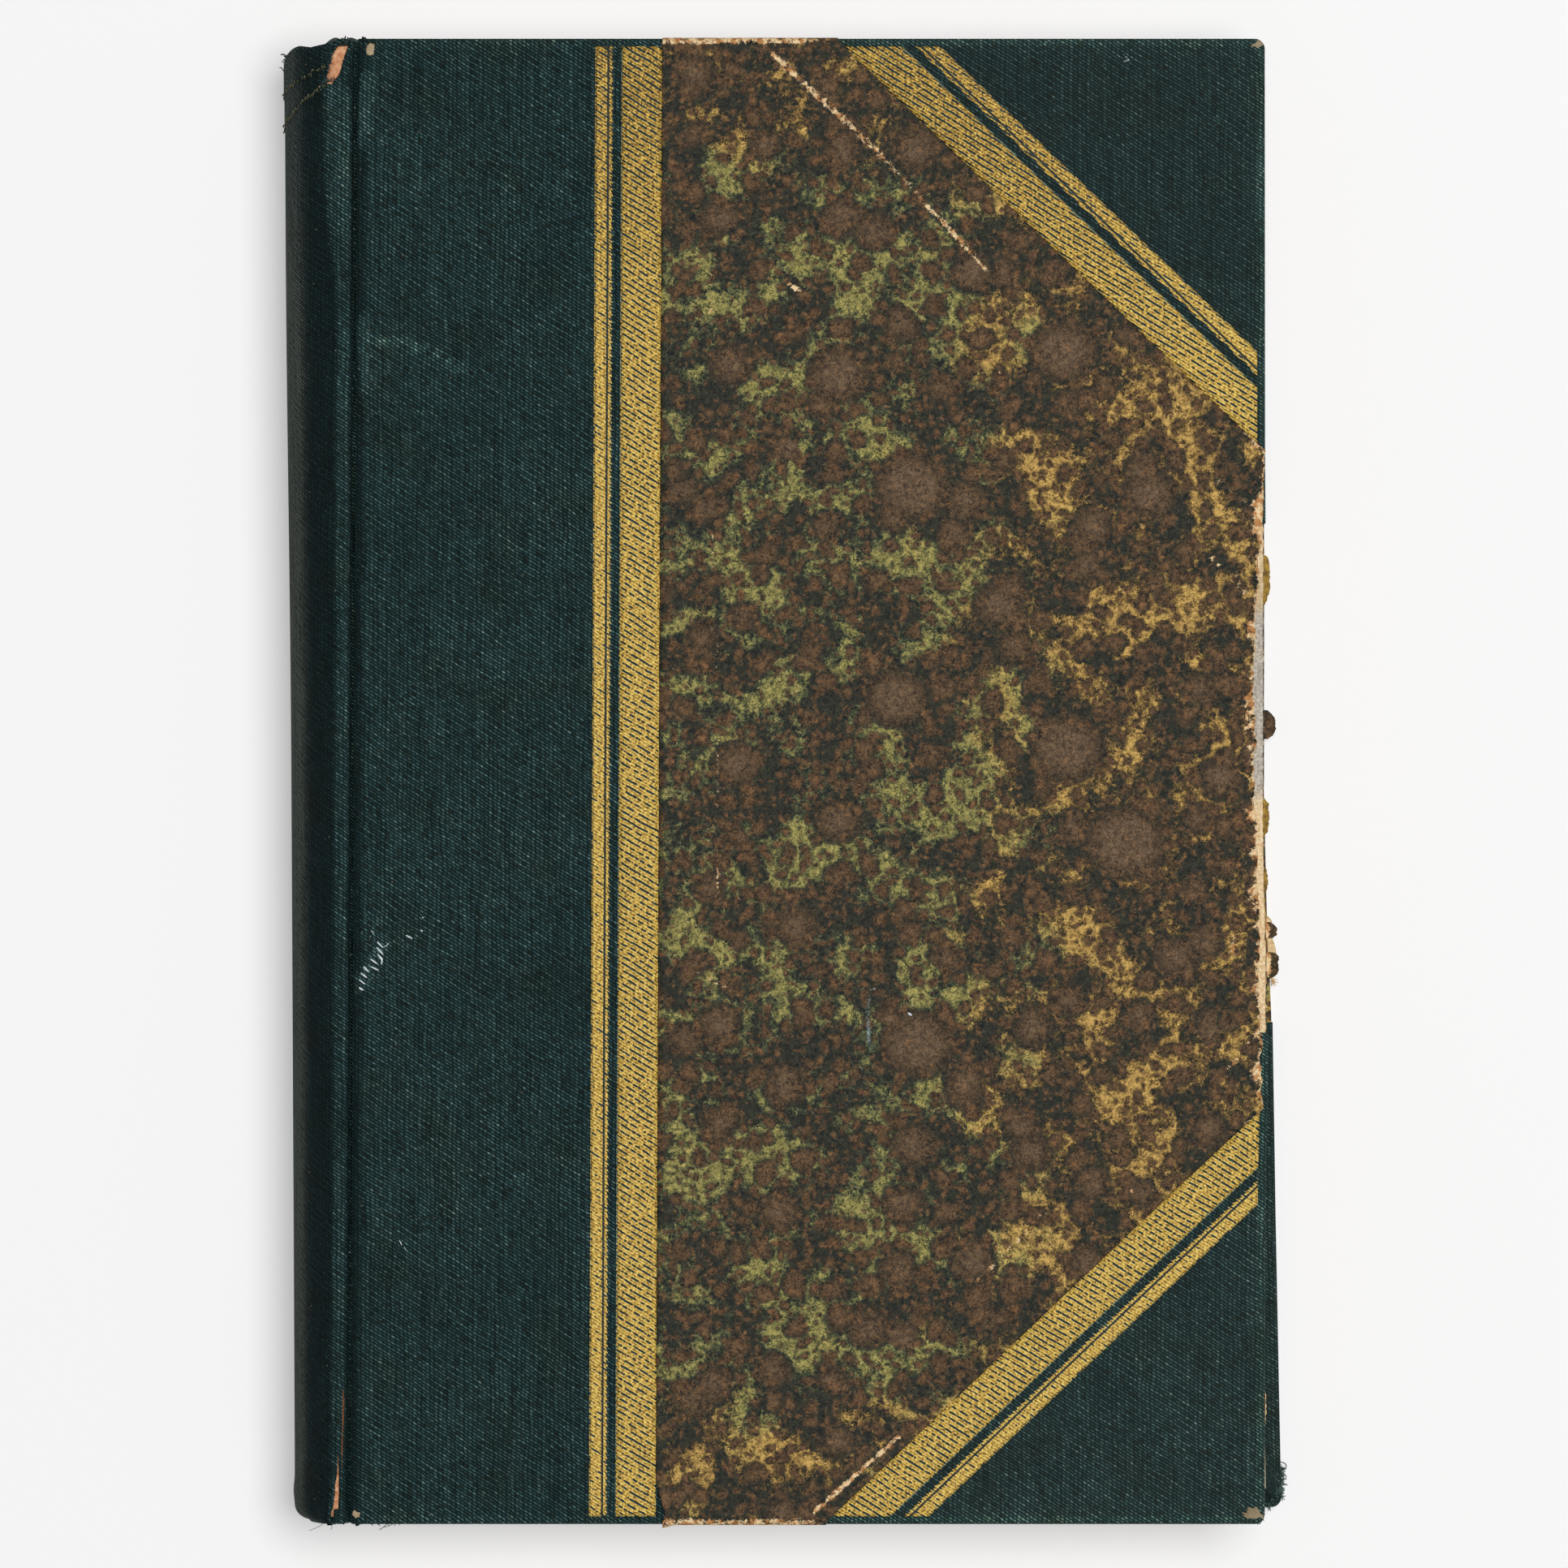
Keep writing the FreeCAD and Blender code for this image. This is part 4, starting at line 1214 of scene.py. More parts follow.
def make_spine_half(cover):
    """One half of the cloth, from the middle of the spine to under the paper, turned in at the head
    and the tail."""
    side = cover.side
    fine = list(np.linspace(0.0, 0.06, 34)) + list(np.linspace(0.06, 0.94, 180))[1:-1]
    shares = fine + [1 - v for v in reversed(fine[:34])]
    panel = list(np.linspace(EDGE_R + 0.15, QUARTER + OVERLAP, 46))
    base = np.array([half_section(side, s) + [panel_point(cover, x, s) for x in panel] for s in shares])
    seam = base.shape[1] - len(panel)
    steps = np.linalg.norm(np.diff(base[len(shares) // 2], axis=0), axis=1)
    runs = np.concatenate([[0], np.cumsum(steps)])
    runs = runs - runs[seam] + panel[0]
    outward = outward_of(side, base)
    thick = np.interp(runs, [-9.0, -6.5, -0.6, 0.6], [INLAY, 0.12, 0.12, BOARD_T])
    radius = np.minimum(EDGE_R, thick / 2 - 0.01)
    turns = [turn_steps(CLOTH, TURN_IN, t, r) for t, r in zip(thick, radius)]
    axis = (AXES[side][1] - AXES[side][0]).normalized()
    grid = [list(row) for row in base[1:-1]]
    heights = [[(share - 0.5) * BOARD_H] * base.shape[1] for share in shares[1:-1]]
    for row, way in ((0, -1), (-1, 1)):
        for k in range(TURN_STATIONS):
            line, run = [], []
            for j, p in enumerate(base[row]):
                e = turns[j][k]
                reach, z = profile(e, CLOTH, thick[j], radius[j])
                line.append(p + np.array(axis) * way * reach + outward[row, j] * (z - CLOTH))
                run.append(way * (HALF + e))
            at = len(grid) if way > 0 else 0
            grid.insert(at, line)
            heights.insert(at, run)
    grid = np.array(grid)
    flats = np.stack([np.broadcast_to(runs, grid.shape[:2]), np.array(heights)], -1)
    if side == "back":
        flats[..., 0] = 2 * runs[0] - flats[..., 0]
    rub, bare, fade = cloth_wear(side, grid, runs, flats[..., 1])
    grid = slump(side, grid, runs)
    gone = open_tears(grid, flats, runs) if side == "front" else None
    cloth = sheet_object(
        side + "_spine_and_quarter_cloth", grid, {"Cloth": flats}, "cloth", thick=CLOTH_DRAWN,
        flip=side == "back", gone=gone, rub=rub, bare=bare, fade=fade,
    )
    start, stop = across_joint(side, -0.5, 0.55)
    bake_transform(cloth)
    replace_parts(cloth, side + "_cloth_panel")
    if side == "front":
        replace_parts(cloth, "spine_cloth")


def outward_of(side, grid):
    """The directions straight out from each row of points that run across the book."""
    cross = np.gradient(grid[:, :, [0, 2]], axis=1)
    cross /= np.maximum(np.linalg.norm(cross, axis=2, keepdims=True), 1e-9)
    way = -WAY[side]
    return np.stack([-cross[..., 1] * way, np.zeros(grid.shape[:2]), cross[..., 0] * way], -1)


def across_joint(side, *reaches):
    """Points on a line across the middle of a joint, in metres."""
    tail, head = AXES[side]
    axis = (head - tail).normalized()
    across = Vector((axis.y, -axis.x, 0)).normalized()
    return [((tail + head) / 2 + across * reach) * MM for reach in reaches]


def open_tears(grid, flats, runs):
    """Moves columns of the grid on to the lips of each tear, and says which faces are missing."""
    gone = np.zeros((grid.shape[0] - 1, grid.shape[1] - 1), bool)
    top = np.flatnonzero((runs > -16.0) & (runs < -5.2))
    for lips, table in TEARS:
        heights, lefts, rights = zip(*table)
        left, right = [int(np.abs(runs - u).argmin()) for u in lips]
        moved = np.arange(left - LIP_REACH, right + LIP_REACH + 1)
        moved = moved[moved <= top[-1]]
        for i in range(grid.shape[0]):
            y = grid[i, left, 1]
            beyond = max(heights[0] - y, y - heights[-1], 0.0)
            near = ease(2.5, 0.0, beyond)
            if near == 0.0 or abs(flats[i, left, 1]) > HALF + 0.7:
                continue
            x, z = grid[i, top, 0], grid[i, top, 2]
            rag = [0.07 * wobble(y, k, 2.4, 3.0 * k, 3) for k in (1.0, 2.0)]
            shifts = [
                np.interp(y, heights, lefts) + rag[0] - grid[i, left, 0],
                np.interp(y, heights, rights) + rag[1] - grid[i, right, 0],
            ]
            shift = np.interp(moved, [moved[0], left, right, moved[-1]], [0.0, *shifts, 0.0]) * near
            lift = np.interp(moved, [left - 3, left, right, right + 3], [0, LIP_LIFT, LIP_LIFT, 0]) * near
            new = grid[i, moved, 0] + shift
            grid[i, moved, 2] = np.interp(new, x, z) + lift
            grid[i, moved, 0] = new
            flats[i, moved, 0] += shift
            if beyond == 0.0:
                gone[i - 1:i + 1, left:right] = True
    return gone


TAIL_ROUND = 2.1
# How deep the spine's head has sunk: (distance from the hinge edge, depth).
SUNK = [(-22, 2.6), (-19.5, 1.4), (-17.3, 0.75), (-15, 0.6), (-12.8, 1), (-11.7, 0.85), (-9.8, 0.6),
        (-9.3, 0.25), (-8.6, 0)]


def slumped(x, y, u):
    """How the spine's end has sunk at the head and rounded at the tail: a shift in x and y."""
    dy = -np.interp(u, *zip(*SUNK)) * ease(HALF - 12, HALF, y)
    left = ease(-69.5, -74.5, x)
    dx = -left * (0.1 + 0.45 * ease(0.0, 85.0, y))
    from_end = max(y + HALF + 0.1, 0.0)
    if from_end < TAIL_ROUND and left > 0:
        dx += left * (TAIL_ROUND - math.sqrt(TAIL_ROUND ** 2 - (TAIL_ROUND - from_end) ** 2))
    dx -= 0.2 * left * math.exp(-((y + 109.5) / 1.6) ** 2)
    return dx, dy


# The edges of the cloth turned in at the head, as they show through: heights along the spine's round,
# from HEAD_FOLDS up.
HEAD_FOLDS = 95.0
RIDGE_RUNS = [-24.0, -17.0, -13.7, -9.8]
RIDGES = ([105.5, 107.2, 108.4, 109.8], [100.5, 102.6, 104.7, 107.05])


def ridge_distance(u, y, k):
    """How far a place lies above the torn edge of one of the turned-in layers."""
    saw = 0.3 * abs((u / 0.55 + 0.4 * k) % 1.0 - 0.5)
    return y - np.interp(u, RIDGE_RUNS, RIDGES[k]) - saw - 0.15 * wobble(u, 2.0, 0.5, 3.0 + k)


STUBS = []  # where broken threads stand on those edges: (place, direction outwards)


def slump(side, grid, runs):
    """The spine's ends sink and round, and the cloth stands up over its own turned-in edges."""
    out = grid.copy()
    outward = outward_of(side, grid)
    for i in range(len(grid)):
        for j in np.flatnonzero(runs < -8.6):
            x, y, _ = grid[i, j]
            dx, dy = slumped(x, y, runs[j])
            lift = 0.0
            if y > HEAD_FOLDS:
                for k, step in enumerate((0.26, 0.2)):
                    lift += step * ease(-0.12, 0.12, ridge_distance(runs[j], y + dy, k))
                lift *= ease(-9.0, -9.8, runs[j]) * (1.0 - 0.65 * ease(-15.0, -17.5, runs[j]))
            out[i, j] += [dx, dy, 0.0] + lift * outward[i, j]
    face = np.flatnonzero((grid[:, 0, 1] > HEAD_FOLDS) & (np.arange(len(grid)) < len(grid) - TURN_STATIONS))
    for j in np.flatnonzero(runs < -9.9):
        for heights in RIDGES:
            level = np.interp(runs[j], RIDGE_RUNS, heights)
            i = face[np.abs(out[face, j, 1] - level).argmin()]
            STUBS.append((Vector(out[i, j]), Vector(outward[i, j])))
    return out


def cloth_wear(side, grid, runs, along):
    """Where the cloth is rubbed pale (or, below 0, grimy and painted in shade), worn through, and faded to
    grey.
    A place is told by its distance u from the board's hinge edge and its height y."""
    rub, bare, fade = np.zeros((3, *grid.shape[:2]))
    for (i, j), y in np.ndenumerate(along):
        u = runs[j]
        ridge = ease(-7.2, -6.2, u) * ease(-3.9, -4.9, u)
        hinge = ease(-0.3, 0.3, u) * ease(2.0, 0.8, u)
        ends = ease(1.6, 0.3, abs(abs(y) - HALF))
        head = ease(72.0, 96.0, y)
        bed = ease(-5.6, -5.0, u) * ease(0.1, -0.8, u)
        # Painted shade: the groove and, with some grime, the spine's outer slope are made darker through a
        # negative rub mark.
        groove = ease(-6.4, -5.4, u) * ease(2.2, 0.0, u) * (1.0 - bed)
        slope = ease(-7.2, -8.8, u + 2.3 * head)
        slope *= 0.3 + 0.7 * ease(-16.0, -13.0, u) + 0.2 * wobble(u, y, 0.3, 7.0)
        worn = 0.12 * ridge + 0.12 * hinge + 0.2 * ends - 0.9 * max(slope, groove)
        # The head's ridge is rubbed paler; the groove's bed is painted paler, a painted light that lifts
        # the shadow in it.
        worn += 0.2 * head * ease(-10.5, -9.0, u) * ease(-5.5, -6.5, u) + 0.3 * bed
        soft = 0.5 + 0.5 * wobble(u, y, 0.1, 3.0)
        fade[i, j] = ease(-11.2, -16.6, u) * (0.85 + 0.3 * soft)
        fade[i, j] *= 1.0 - 0.45 * ease(66.0, 100.0, y)
        torn = 0.14 * ease(runs[0] + 2.0, runs[0] + 0.6, u)
        torn = max(torn, 0.25 * ends * max(0.0, wobble(u, y, 0.4, 9.0)))
        if side == "front":
            # Darker round the lips of the tear at the head.
            if y > 105:
                worn -= 0.6 * ease(1.3, 0.5, abs(u + 8.0) - 1.1) * ease(106.0, 107.5, y)
            for *line, strength, reach in SCUFFS:
                much = strength * ease(reach, reach * 0.2, segment_distance(u, y, line))
                worn = max(worn, much) if much else worn
            for *line, reach, strength in BARE_CLOTH:
                torn = max(torn, strength * ease(reach, reach * 0.55, segment_distance(u, y, line)))
        if y > HEAD_FOLDS and u < -9.0:
            for k in range(2):
                past = ridge_distance(u, y + slumped(-75.0, y, u)[1], k)
                torn = max(torn, 0.46 * ease(0.45, 0.0, abs(past - 0.1)))
                # Painted shadow: a dark band just under each turned-in edge.
                worn -= 0.6 * ease(-0.8, -0.1, past) * ease(0.1, 0.0, past)
        rub[i, j], bare[i, j] = worn, torn
    return rub, bare, fade


# Bare places on the front's cloth: (distance from the hinge edge, height, and again, radius, strength).
BARE_CLOTH = [
    (1.5, 112.7, 1.9, 112.1, 0.8, 0.95), (0.3, -112.3, 0.6, -112.7, 0.5, 0.95),
]


# Scuffs on the front's cloth: (distance from the hinge edge, height, and again, strength, reach).
SCUFFS = [
    (1, 68.2, 7.4, 67.2, 0.62, 0.9), (7.4, 67.2, 12.4, 65.2, 0.66, 0.9),
    (12.4, 65.2, 15.6, 62.8, 0.66, 0.9), (0.8, 70, 1.6, 60, 0.3, 1.2), (1, -31, 4.4, -25, 0.4, 1.6),
    (0.8, 98, 1.6, 108, 0.3, 1.4),
]

# ---- the leaves and what holds them ----

GATHERINGS = 14
LEAVES_SHOWN = 8
BLOCK_HALF = HALF - SQUARE
LEAF_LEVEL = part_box("back_flyleaf")[1].z / MM
LEAF_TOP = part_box("front_flyleaf")[0].z / MM
LEAF_WIDTH = BOARD_W + CLOTH + JOINT_GAP - SQUARE
FORE_HOLLOW = 5.0
LINING_DEPTH = 1.95


def leaf_line(share, q):
    """One leaf's run across the book, from the fore edge to its fold; q is 0 at the front."""
    front, back = on_axis("front", share).x, on_axis("back", share).x
    hinge = front + (back - front) * q
    fore = hinge + LEAF_WIDTH - FORE_HOLLOW * (1 - (2 * q - 1) ** 2)
    root = hinge - 0.75
    z = LEAF_TOP + (LEAF_LEVEL - LEAF_TOP) * q
    scallop = 0.4 * (2 * ((q * GATHERINGS) % 1.0) - 1) ** 2
    fold = round_point(share, 0.03 + 0.94 * q, LINING_DEPTH + scallop)
    a = Vector((root, 0, z))
    b = Vector((root - 0.9, 0, z))
    c = Vector((max(root - 1.2, fold.x + 0.6), 0, z + (fold.z - z) * 0.9))
    points = [(fore, z), (fore - 0.4, z), ((fore + root) / 2, z), (root + 2, z)]
    for t in np.arange(9) / 8:
        p = a * (1 - t) ** 3 + b * 3 * t * (1 - t) ** 2 + c * 3 * t * t * (1 - t) + fold * t ** 3
        points.append((p.x, p.z))
    return points


def make_leaves():
    """The block as many thin packets of leaves, whose edges are slightly uneven."""
    count = GATHERINGS * LEAVES_SHOWN
    pick = random.Random(5)
    verts, faces, leaf_marks = [], [], []
    lines = {share: [leaf_line(share, k / count) for k in range(count + 1)] for share in (0, 1)}
    for k in range(count):
        trims = [pick.uniform(0.0, 0.16) + (0.12 if k % LEAVES_SHOWN == 0 else 0.0) for _ in range(3)]
        base = len(verts)
        rings = len(lines[0][0])
        for i in range(rings):
            for share, top in ((0, 0), (1, 0), (1, 1), (0, 1)):
                x, z = lines[share][k + top][i]
                if i < 1:
                    x -= trims[0]
                y = (BLOCK_HALF - trims[1 + share]) * (1 if share else -1)
                verts.append((x * MM, y * MM, z * MM))
                leaf_marks.append(k / count)
        for i in range(rings - 1):
            a, b = base + 4 * i, base + 4 * (i + 1)
            for j in range(4):
                n = (j + 1) % 4
                faces.append((a + j, a + n, b + n, b + j))
        faces.append(tuple(base + j for j in (3, 2, 1, 0)))
        faces.append(tuple(base + 4 * (rings - 1) + j for j in range(4)))
    mesh = bpy.data.meshes.new("leaves")
    mesh.from_pydata(verts, [], faces)
    held = mesh.attributes.new("leaf", "FLOAT", "POINT")
    held.data.foreach_set("value", np.array(leaf_marks, np.float32))
    mesh.materials.append(MATERIALS["pages"])
    mesh.update()
    leaves = new_object("leaves", mesh)
    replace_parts(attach(leaves, "text_block"), "text_block")


def make_endpaper_hinge(side):
    """The fold of the endpaper, from the block's shoulder across the joint to the board."""
    cover = COVERS[side]
    level = LEAF_TOP + 0.1 if side == "front" else LEAF_LEVEL - 0.1
    inner = -BOARD_T - CLOTH - PAPER - 0.02
    grid, flats = [], []
    for share in np.linspace(0.012, 0.988, 60):
        joint = on_axis(side, share)
        board = panel_point(cover, 0.0, share, inner)
        line = []
        for t in np.arange(15) / 14:
            x = joint.x - 0.55 + (board.x + 3.0 - joint.x + 0.55) * t
            z = level + (board.z - level) * ease(0.15, 0.75, t)
            line.append((x, joint.y + (board.y - joint.y) * t, z))
            flats.append((x, joint.y))
        grid.append(line)
    name = side + "_endpaper_hinge"
    hinge = sheet_object(
        name, grid, {"Cloth": flats}, "endpaper", thick=ENDPAPER * 0.8, flip=side == "back"
    )
    start, stop = across_joint(side, -0.6, 1.6)
    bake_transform(hinge)


def make_spine_card():
    """The card inside the spine, sunk at its head with the cloth."""
    shares = [*np.linspace(0.0035, 0.06, 8), *np.linspace(0.09, 0.9, 10), *np.linspace(0.92, 0.9955, 12)]
    grid = []
    for share in shares:
        line = []
        for t in np.linspace(0, 1, 41):
            p = round_point(share, t, CLOTH + 0.02)
            dx, dy = slumped(p.x, p.y, -8.05 - 32.0 * min(t, 1 - t))
            line.append((p.x + dx, p.y + dy, p.z))
        grid.append(line)
    grid = np.array(grid)
    card = sheet_object("spine_card", grid, {"Cloth": grid[..., 1:]}, "card", thick=INLAY * 0.95, flip=True)
    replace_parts(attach(card, "text_block"), "spine_inlay")


def make_card_patches():
    """The tan card that shows through the torn cloth over the front ridge."""
    for name, low, high in (("spine_card_head", 0.966, 0.9965), ("spine_card_tail", 0.0085, 0.06)):
        grid, flats = [], []
        for share in np.linspace(low, high, 30):
            line = half_section("front", share)[ARC_POINTS - 12:ARC_POINTS + 12]
            flats += [(p.x, p.y) for p in line]
            grid.append([(p.x + 0.1, p.y, p.z - 0.42 + 0.05 * wobble(p.x, p.y, 0.6, 2.0)) for p in line])
        patch = sheet_object(name, grid, {"Cloth": flats}, "card", thick=0.2)
        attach(patch, "text_block")


# ---- loose threads, slivers and flakes ----


def tube(name, runs, radius, look, body, taper=0.7):
    """Thin threads along runs of points, in millimetres."""
    curve = bpy.data.curves.new(name, "CURVE")
    curve.dimensions = "3D"
    curve.bevel_depth = radius * MM
    curve.bevel_resolution = 1 if radius > 0.14 else 0
    curve.resolution_u = 4
    curve.use_fill_caps = True
    for run in runs:
        if len(run) == 2:
            run = [run[0], [(a + b) / 2 for a, b in zip(*run)], run[1]]
        spline = curve.splines.new("NURBS")
        spline.points.add(len(run) - 1)
        for point, p in zip(spline.points, run):
            point.co = (*[c * MM for c in p], 1.0)
            point.radius = 1.0
        spline.points[0].radius = spline.points[-1].radius = taper
        spline.order_u = 3
        spline.use_endpoint_u = True
    curve.materials.append(MATERIALS[look])
    thing = new_object(name, curve)
    bpy.context.view_layer.update()
    mesh = bpy.data.meshes.new_from_object(thing.evaluated_get(bpy.context.evaluated_depsgraph_get()))
    bpy.data.objects.remove(thing)
    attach(new_object(name, mesh), body)


# Frayed places: (body, look, [(end of the strip, other end, direction, count, length, radius)]).
FRAYS = [
    ("text_block", "thread", [
        ((-69.6, 112.9, 23.6), (-66.3, 113.1, 23.9), (0, 1, 0.1), 34, 1, 0.085),
        ((-69.5, 112.8, 23), (-66.6, 113, 23.2), (0, 1, 0), 22, 1.2, 0.13),
        ((-70.4, 107.4, 23.9), (-69.1, 112.2, 24.2), (0.5, 0.8, 0.1), 46, 0.35, 0.07),
        ((-70.4, 107.3, 23.9), (-68.8, 107.6, 24.2), (0.2, 0.9, 0.2), 16, 0.6, 0.08),
        ((-67.9, 108.4, 24.3), (-66.8, 112.4, 24.3), (-0.5, 0.6, 0.1), 26, 0.3, 0.06),
        ((-76.9, 111, 15), (-76.2, 112.2, 17), (-0.7, 0.7, 0), 12, 0.6, 0.06),
        ((-69.9, -113.6, 23.4), (-66.9, -113.6, 23.6), (0.1, -1, 0), 18, 0.55, 0.06),
        ((-68.4, -102, 24.2), (-69.1, -111, 24.1), (0.7, 0.3, 0.1), 26, 0.3, 0.045),
    ]),
    ("front_cover", "thread", [
        ((-65.4, 113.6, 24.1), (-61, 113.7, 24.4), (0.1, 1, 0), 14, 0.4, 0.05),
        ((-65.9, -113.6, 24), (-58, -113.8, 24.3), (0.1, -1, 0), 22, 0.5, 0.05),
        ((72.8, -113.7, 23.6), (73.7, -112.6, 23.4), (0.5, -0.8, 0), 26, 0.5, 0.07),
    ]),
    ("front_cover", "tuft", [
        ((73.75, -90, 23.6), (73.75, -112.4, 23.8), (0.8, 0, 0.3), 70, 0.25, 0.05),
    ]),
    ("text_block", "bast", [
        ((-77, 110.6, 14.2), (-75.4, 112.6, 18), (-0.5, 0.8, 0.1), 40, 0.45, 0.055),
    ]),
    ("back_cover", "tuft", [
        ((77.2, -106.6, 2), (77.3, -111.6, 1.8), (0.9, -0.3, 0.1), 110, 0.9, 0.07),
        ((77.1, -109.5, 3), (75.4, -112.4, 3), (0.6, -0.6, 0.3), 90, 0.8, 0.08),
    ]),
    ("back_cover", "thread", [
        ((77.3, -107, 2.2), (75.4, -112.6, 2), (0.5, -0.8, 0), 60, 0.9, 0.07),
    ]),
    ("back_cover", "shred", [
        ((75.9, -30.6, 2.6), (76.5, -31.3, 2.6), (0.5, -0.8, 0), 30, 0.8, 0.05),
    ]),
]
# Single loose threads: (body, look, [(radius, x, y, z, x, y, z, ...)]).
THREADS = [
    ("text_block", "thread", [
        (0.13, -77.7, 112.3, 13.4, -77.3, 112.5, 13.6, -76.9, 111.9, 13.8, -76.6, 110.9, 14.2),
        (0.08, -77.95, 110.4, 13.2, -77.6, 110.4, 13.2, -77.3, 109.8, 13.4, -76.8, 109.3, 13.8),
        (0.06, -77.5, 111.5, 13.4, -77.1, 110.8, 13.2, -76.8, 110.9, 13.6),
        (0.34, -70.2, 113.1, 23.2, -69.3, 113.75, 23.7, -68.4, 113.95, 23.8, -67.7, 113.3, 23.6),
        (0.26, -69.6, 113, 22.8, -68.9, 113.9, 23.2, -68, 113.8, 23.1, -67.5, 113, 23),
    ]),
    ("front_cover", "thread", [
        (0.3, -67, 113.3, 23.6, -66.7, 114, 24, -65.9, 113.8, 24, -65.1, 113.5, 24.2),
    ]),
    ("text_block", "thread", [
        (0.05, -70.2, -113.6, 22.4, -71, -114.6, 21, -73, -115.3, 20),
        (0.045, -69.4, -113.7, 22.6, -69.2, -114.6, 22, -69.6, -115.1, 21.6),
    ]),
    ("front_cover", "thread", [
        (0.07, -60.6, -113.8, 24, -61.2, -114.4, 23.9, -62, -114.9, 23.6),
        (0.05, -59.6, -113.8, 24, -60.4, -114.3, 23.9, -61.3, -114.5, 23.7),
    ]),
    ("text_block", "rust", [
        (0.09, -67.5, -93.4, 24.38, -67.62, -96, 24.4, -67.62, -99.5, 24.42, -67.8, -103.4, 24.4),
        (0.06, -67.4, -94.6, 24.36, -67.5, -98, 24.4, -67.72, -101, 24.4, -67.7, -105.2, 24.4),
    ]),
    ("back_cover", "thread", [
        (0.08, 76.9, -105.9, 2, 77.9, -106, 2, 78.45, -106.6, 1.8, 78.1, -107.3, 1.7, 77.5, -107.1, 1.8),
        (0.06, 77, -107.4, 1.8, 78.1, -107.8, 1.8, 78.5, -108.5, 1.7, 77.9, -108.9, 1.6),
    ]),
]


def make_frays():
    """Broken threads along the torn edges of the cloth."""
    pick = random.Random(21)
    held = {}

    def keep(body, look, radius, run):
        held.setdefault((body, look, radius), []).append(run)

    def scatter(deviation):
        return Vector([pick.gauss(0, deviation) for _ in range(3)])

    for body, look, rows in FRAYS:
        for a, b, way, count, length, radius in rows:
            for _ in range(count):
                p = Vector(a).lerp(Vector(b), pick.random())
                direction = (Vector(way) + scatter(0.45)).normalized() * length * pick.uniform(0.4, 1.1) / 3
                run = [p - direction * 0.8]
                for _ in range(4):
                    run.append(run[-1] + direction + scatter(0.3) * length / 3)
                keep(body, look, radius, run)
    for body, look, rows in THREADS:
        for radius, *run in rows:
            keep(body, look, radius, list(zip(run[::3], run[1::3], run[2::3])))
    for p, out in STUBS:
        for radius in (0.06, 0.11):
            way = Vector((pick.gauss(0.1, 0.25), -0.5 * pick.uniform(0.6, 1.3), 0.0))
            start = p + Vector((0, 0.25, 0)) + out * 0.02
            bend = start + way * 0.5 + out * pick.uniform(0.05, 0.16)
            keep("text_block", "bast", radius, [start, bend, start + way])
    for (body, look, radius), runs in held.items():
        tube(f"{look}s_{body}_{round(radius * 1000)}", runs, radius, look, body)


# Marks on the front's face, by look: (radius, x, y, x, y, ...) from above.
MARKS = {
    "chalk": [
        (0.2, -62.3, -24.6, -62, -25, -61.4, -25.5), (0.1, -61.5, -25.5, -60.9, -25.3, -60.5, -24.8),
        (0.24, -62.4, -25.5, -61.9, -25.9, -61.4, -26.6),
        (0.19, -62.3, -26.5, -61.8, -27, -61.5, -27.4, -61.7, -28.1),
        (0.23, -63.3, -27.3, -62.8, -27.6, -62.3, -28), (0.21, -63.3, -28.4, -62.7, -28.7, -62.1, -29),
        (0.25, -64.4, -28.4, -64, -28.9, -63.6, -29.2), (0.22, -64.8, -29.4, -64.3, -29.8, -63.9, -30.1),
        (0.18, -65.1, -30.4, -64.6, -30.8, -64.2, -31.1), (0.26, -65.1, -31.6, -64.8, -31.9, -64.4, -32),
        (0.07, -63.3, -22.8, -62.8, -23.4), (0.13, -55.4, -20.8, -55.2, -21),
        (0.15, -55.7, -22.8, -55.3, -23), (0.19, -57.9, -23.6, -56.9, -24.1),
        (0.12, -58.9, -70.4, -58.5, -71.2), (0.08, -58.2, -71.4, -57.9, -71.9),
        (0.3, 19.1, -35.5, 19.7, -35.9), (0.1, 18.6, -35.5, 19, -35.9),
    ],
    "sliver": [
        (0.36, 53.3, -62.6, 53.5, -63.1), (0.2, -11, 35.3, -10.6, 34.9),
        (0.12, -10, 32.4, -9.4, 32.2, -8.6, 31.6), (0.1, -3.9, 20.5, -3.7, 19.6, -3.2, 18.7),
        (0.14, -2.1, 11.8, -1.9, 11.4), (0.13, -3.1, 8.4, -3.2, 7.3, -3.6, 6.4),
        (0.12, 3.4, 9.65, 3.4, 8.65), (0.12, 0.4, 4.4, 0.2, 3.3, -0.25, 2.3),
        (0.08, -8.9, -1, -8.2, -0.8, -8, -1.5, -8.6, -1.8, -9, -1.4),
        (0.12, -17.2, 1.9, -16, 1.7, -14.6, 1.3), (0.13, 14.3, 15.6, 14.6, 15.5),
        (0.045, 23.8, 7.4, 29.5, 9, 35.2, 11), (0.035, 24.5, 10, 27.5, 10, 30.8, 9.4),
        (0.13, 36.5, 12, 36.9, 10.8), (0.12, 13.2, 2.1, 13.6, 2), (0.1, 11.4, 25.6, 11.6, 25.3),
        (0.12, 35.5, -2.2, 35.8, -2.4), (0.1, 21.1, 5.5, 21.4, 5.3), (0.12, -18.5, 43.9, -18, 43.7),
        (0.12, -18.5, 33.7, -18.1, 33.4), (0.14, -18.5, 17.1, -18.3, 15.4, -18.5, 13.4),
        (0.1, -18.3, 60.6, -17.9, 60),
    ],
}
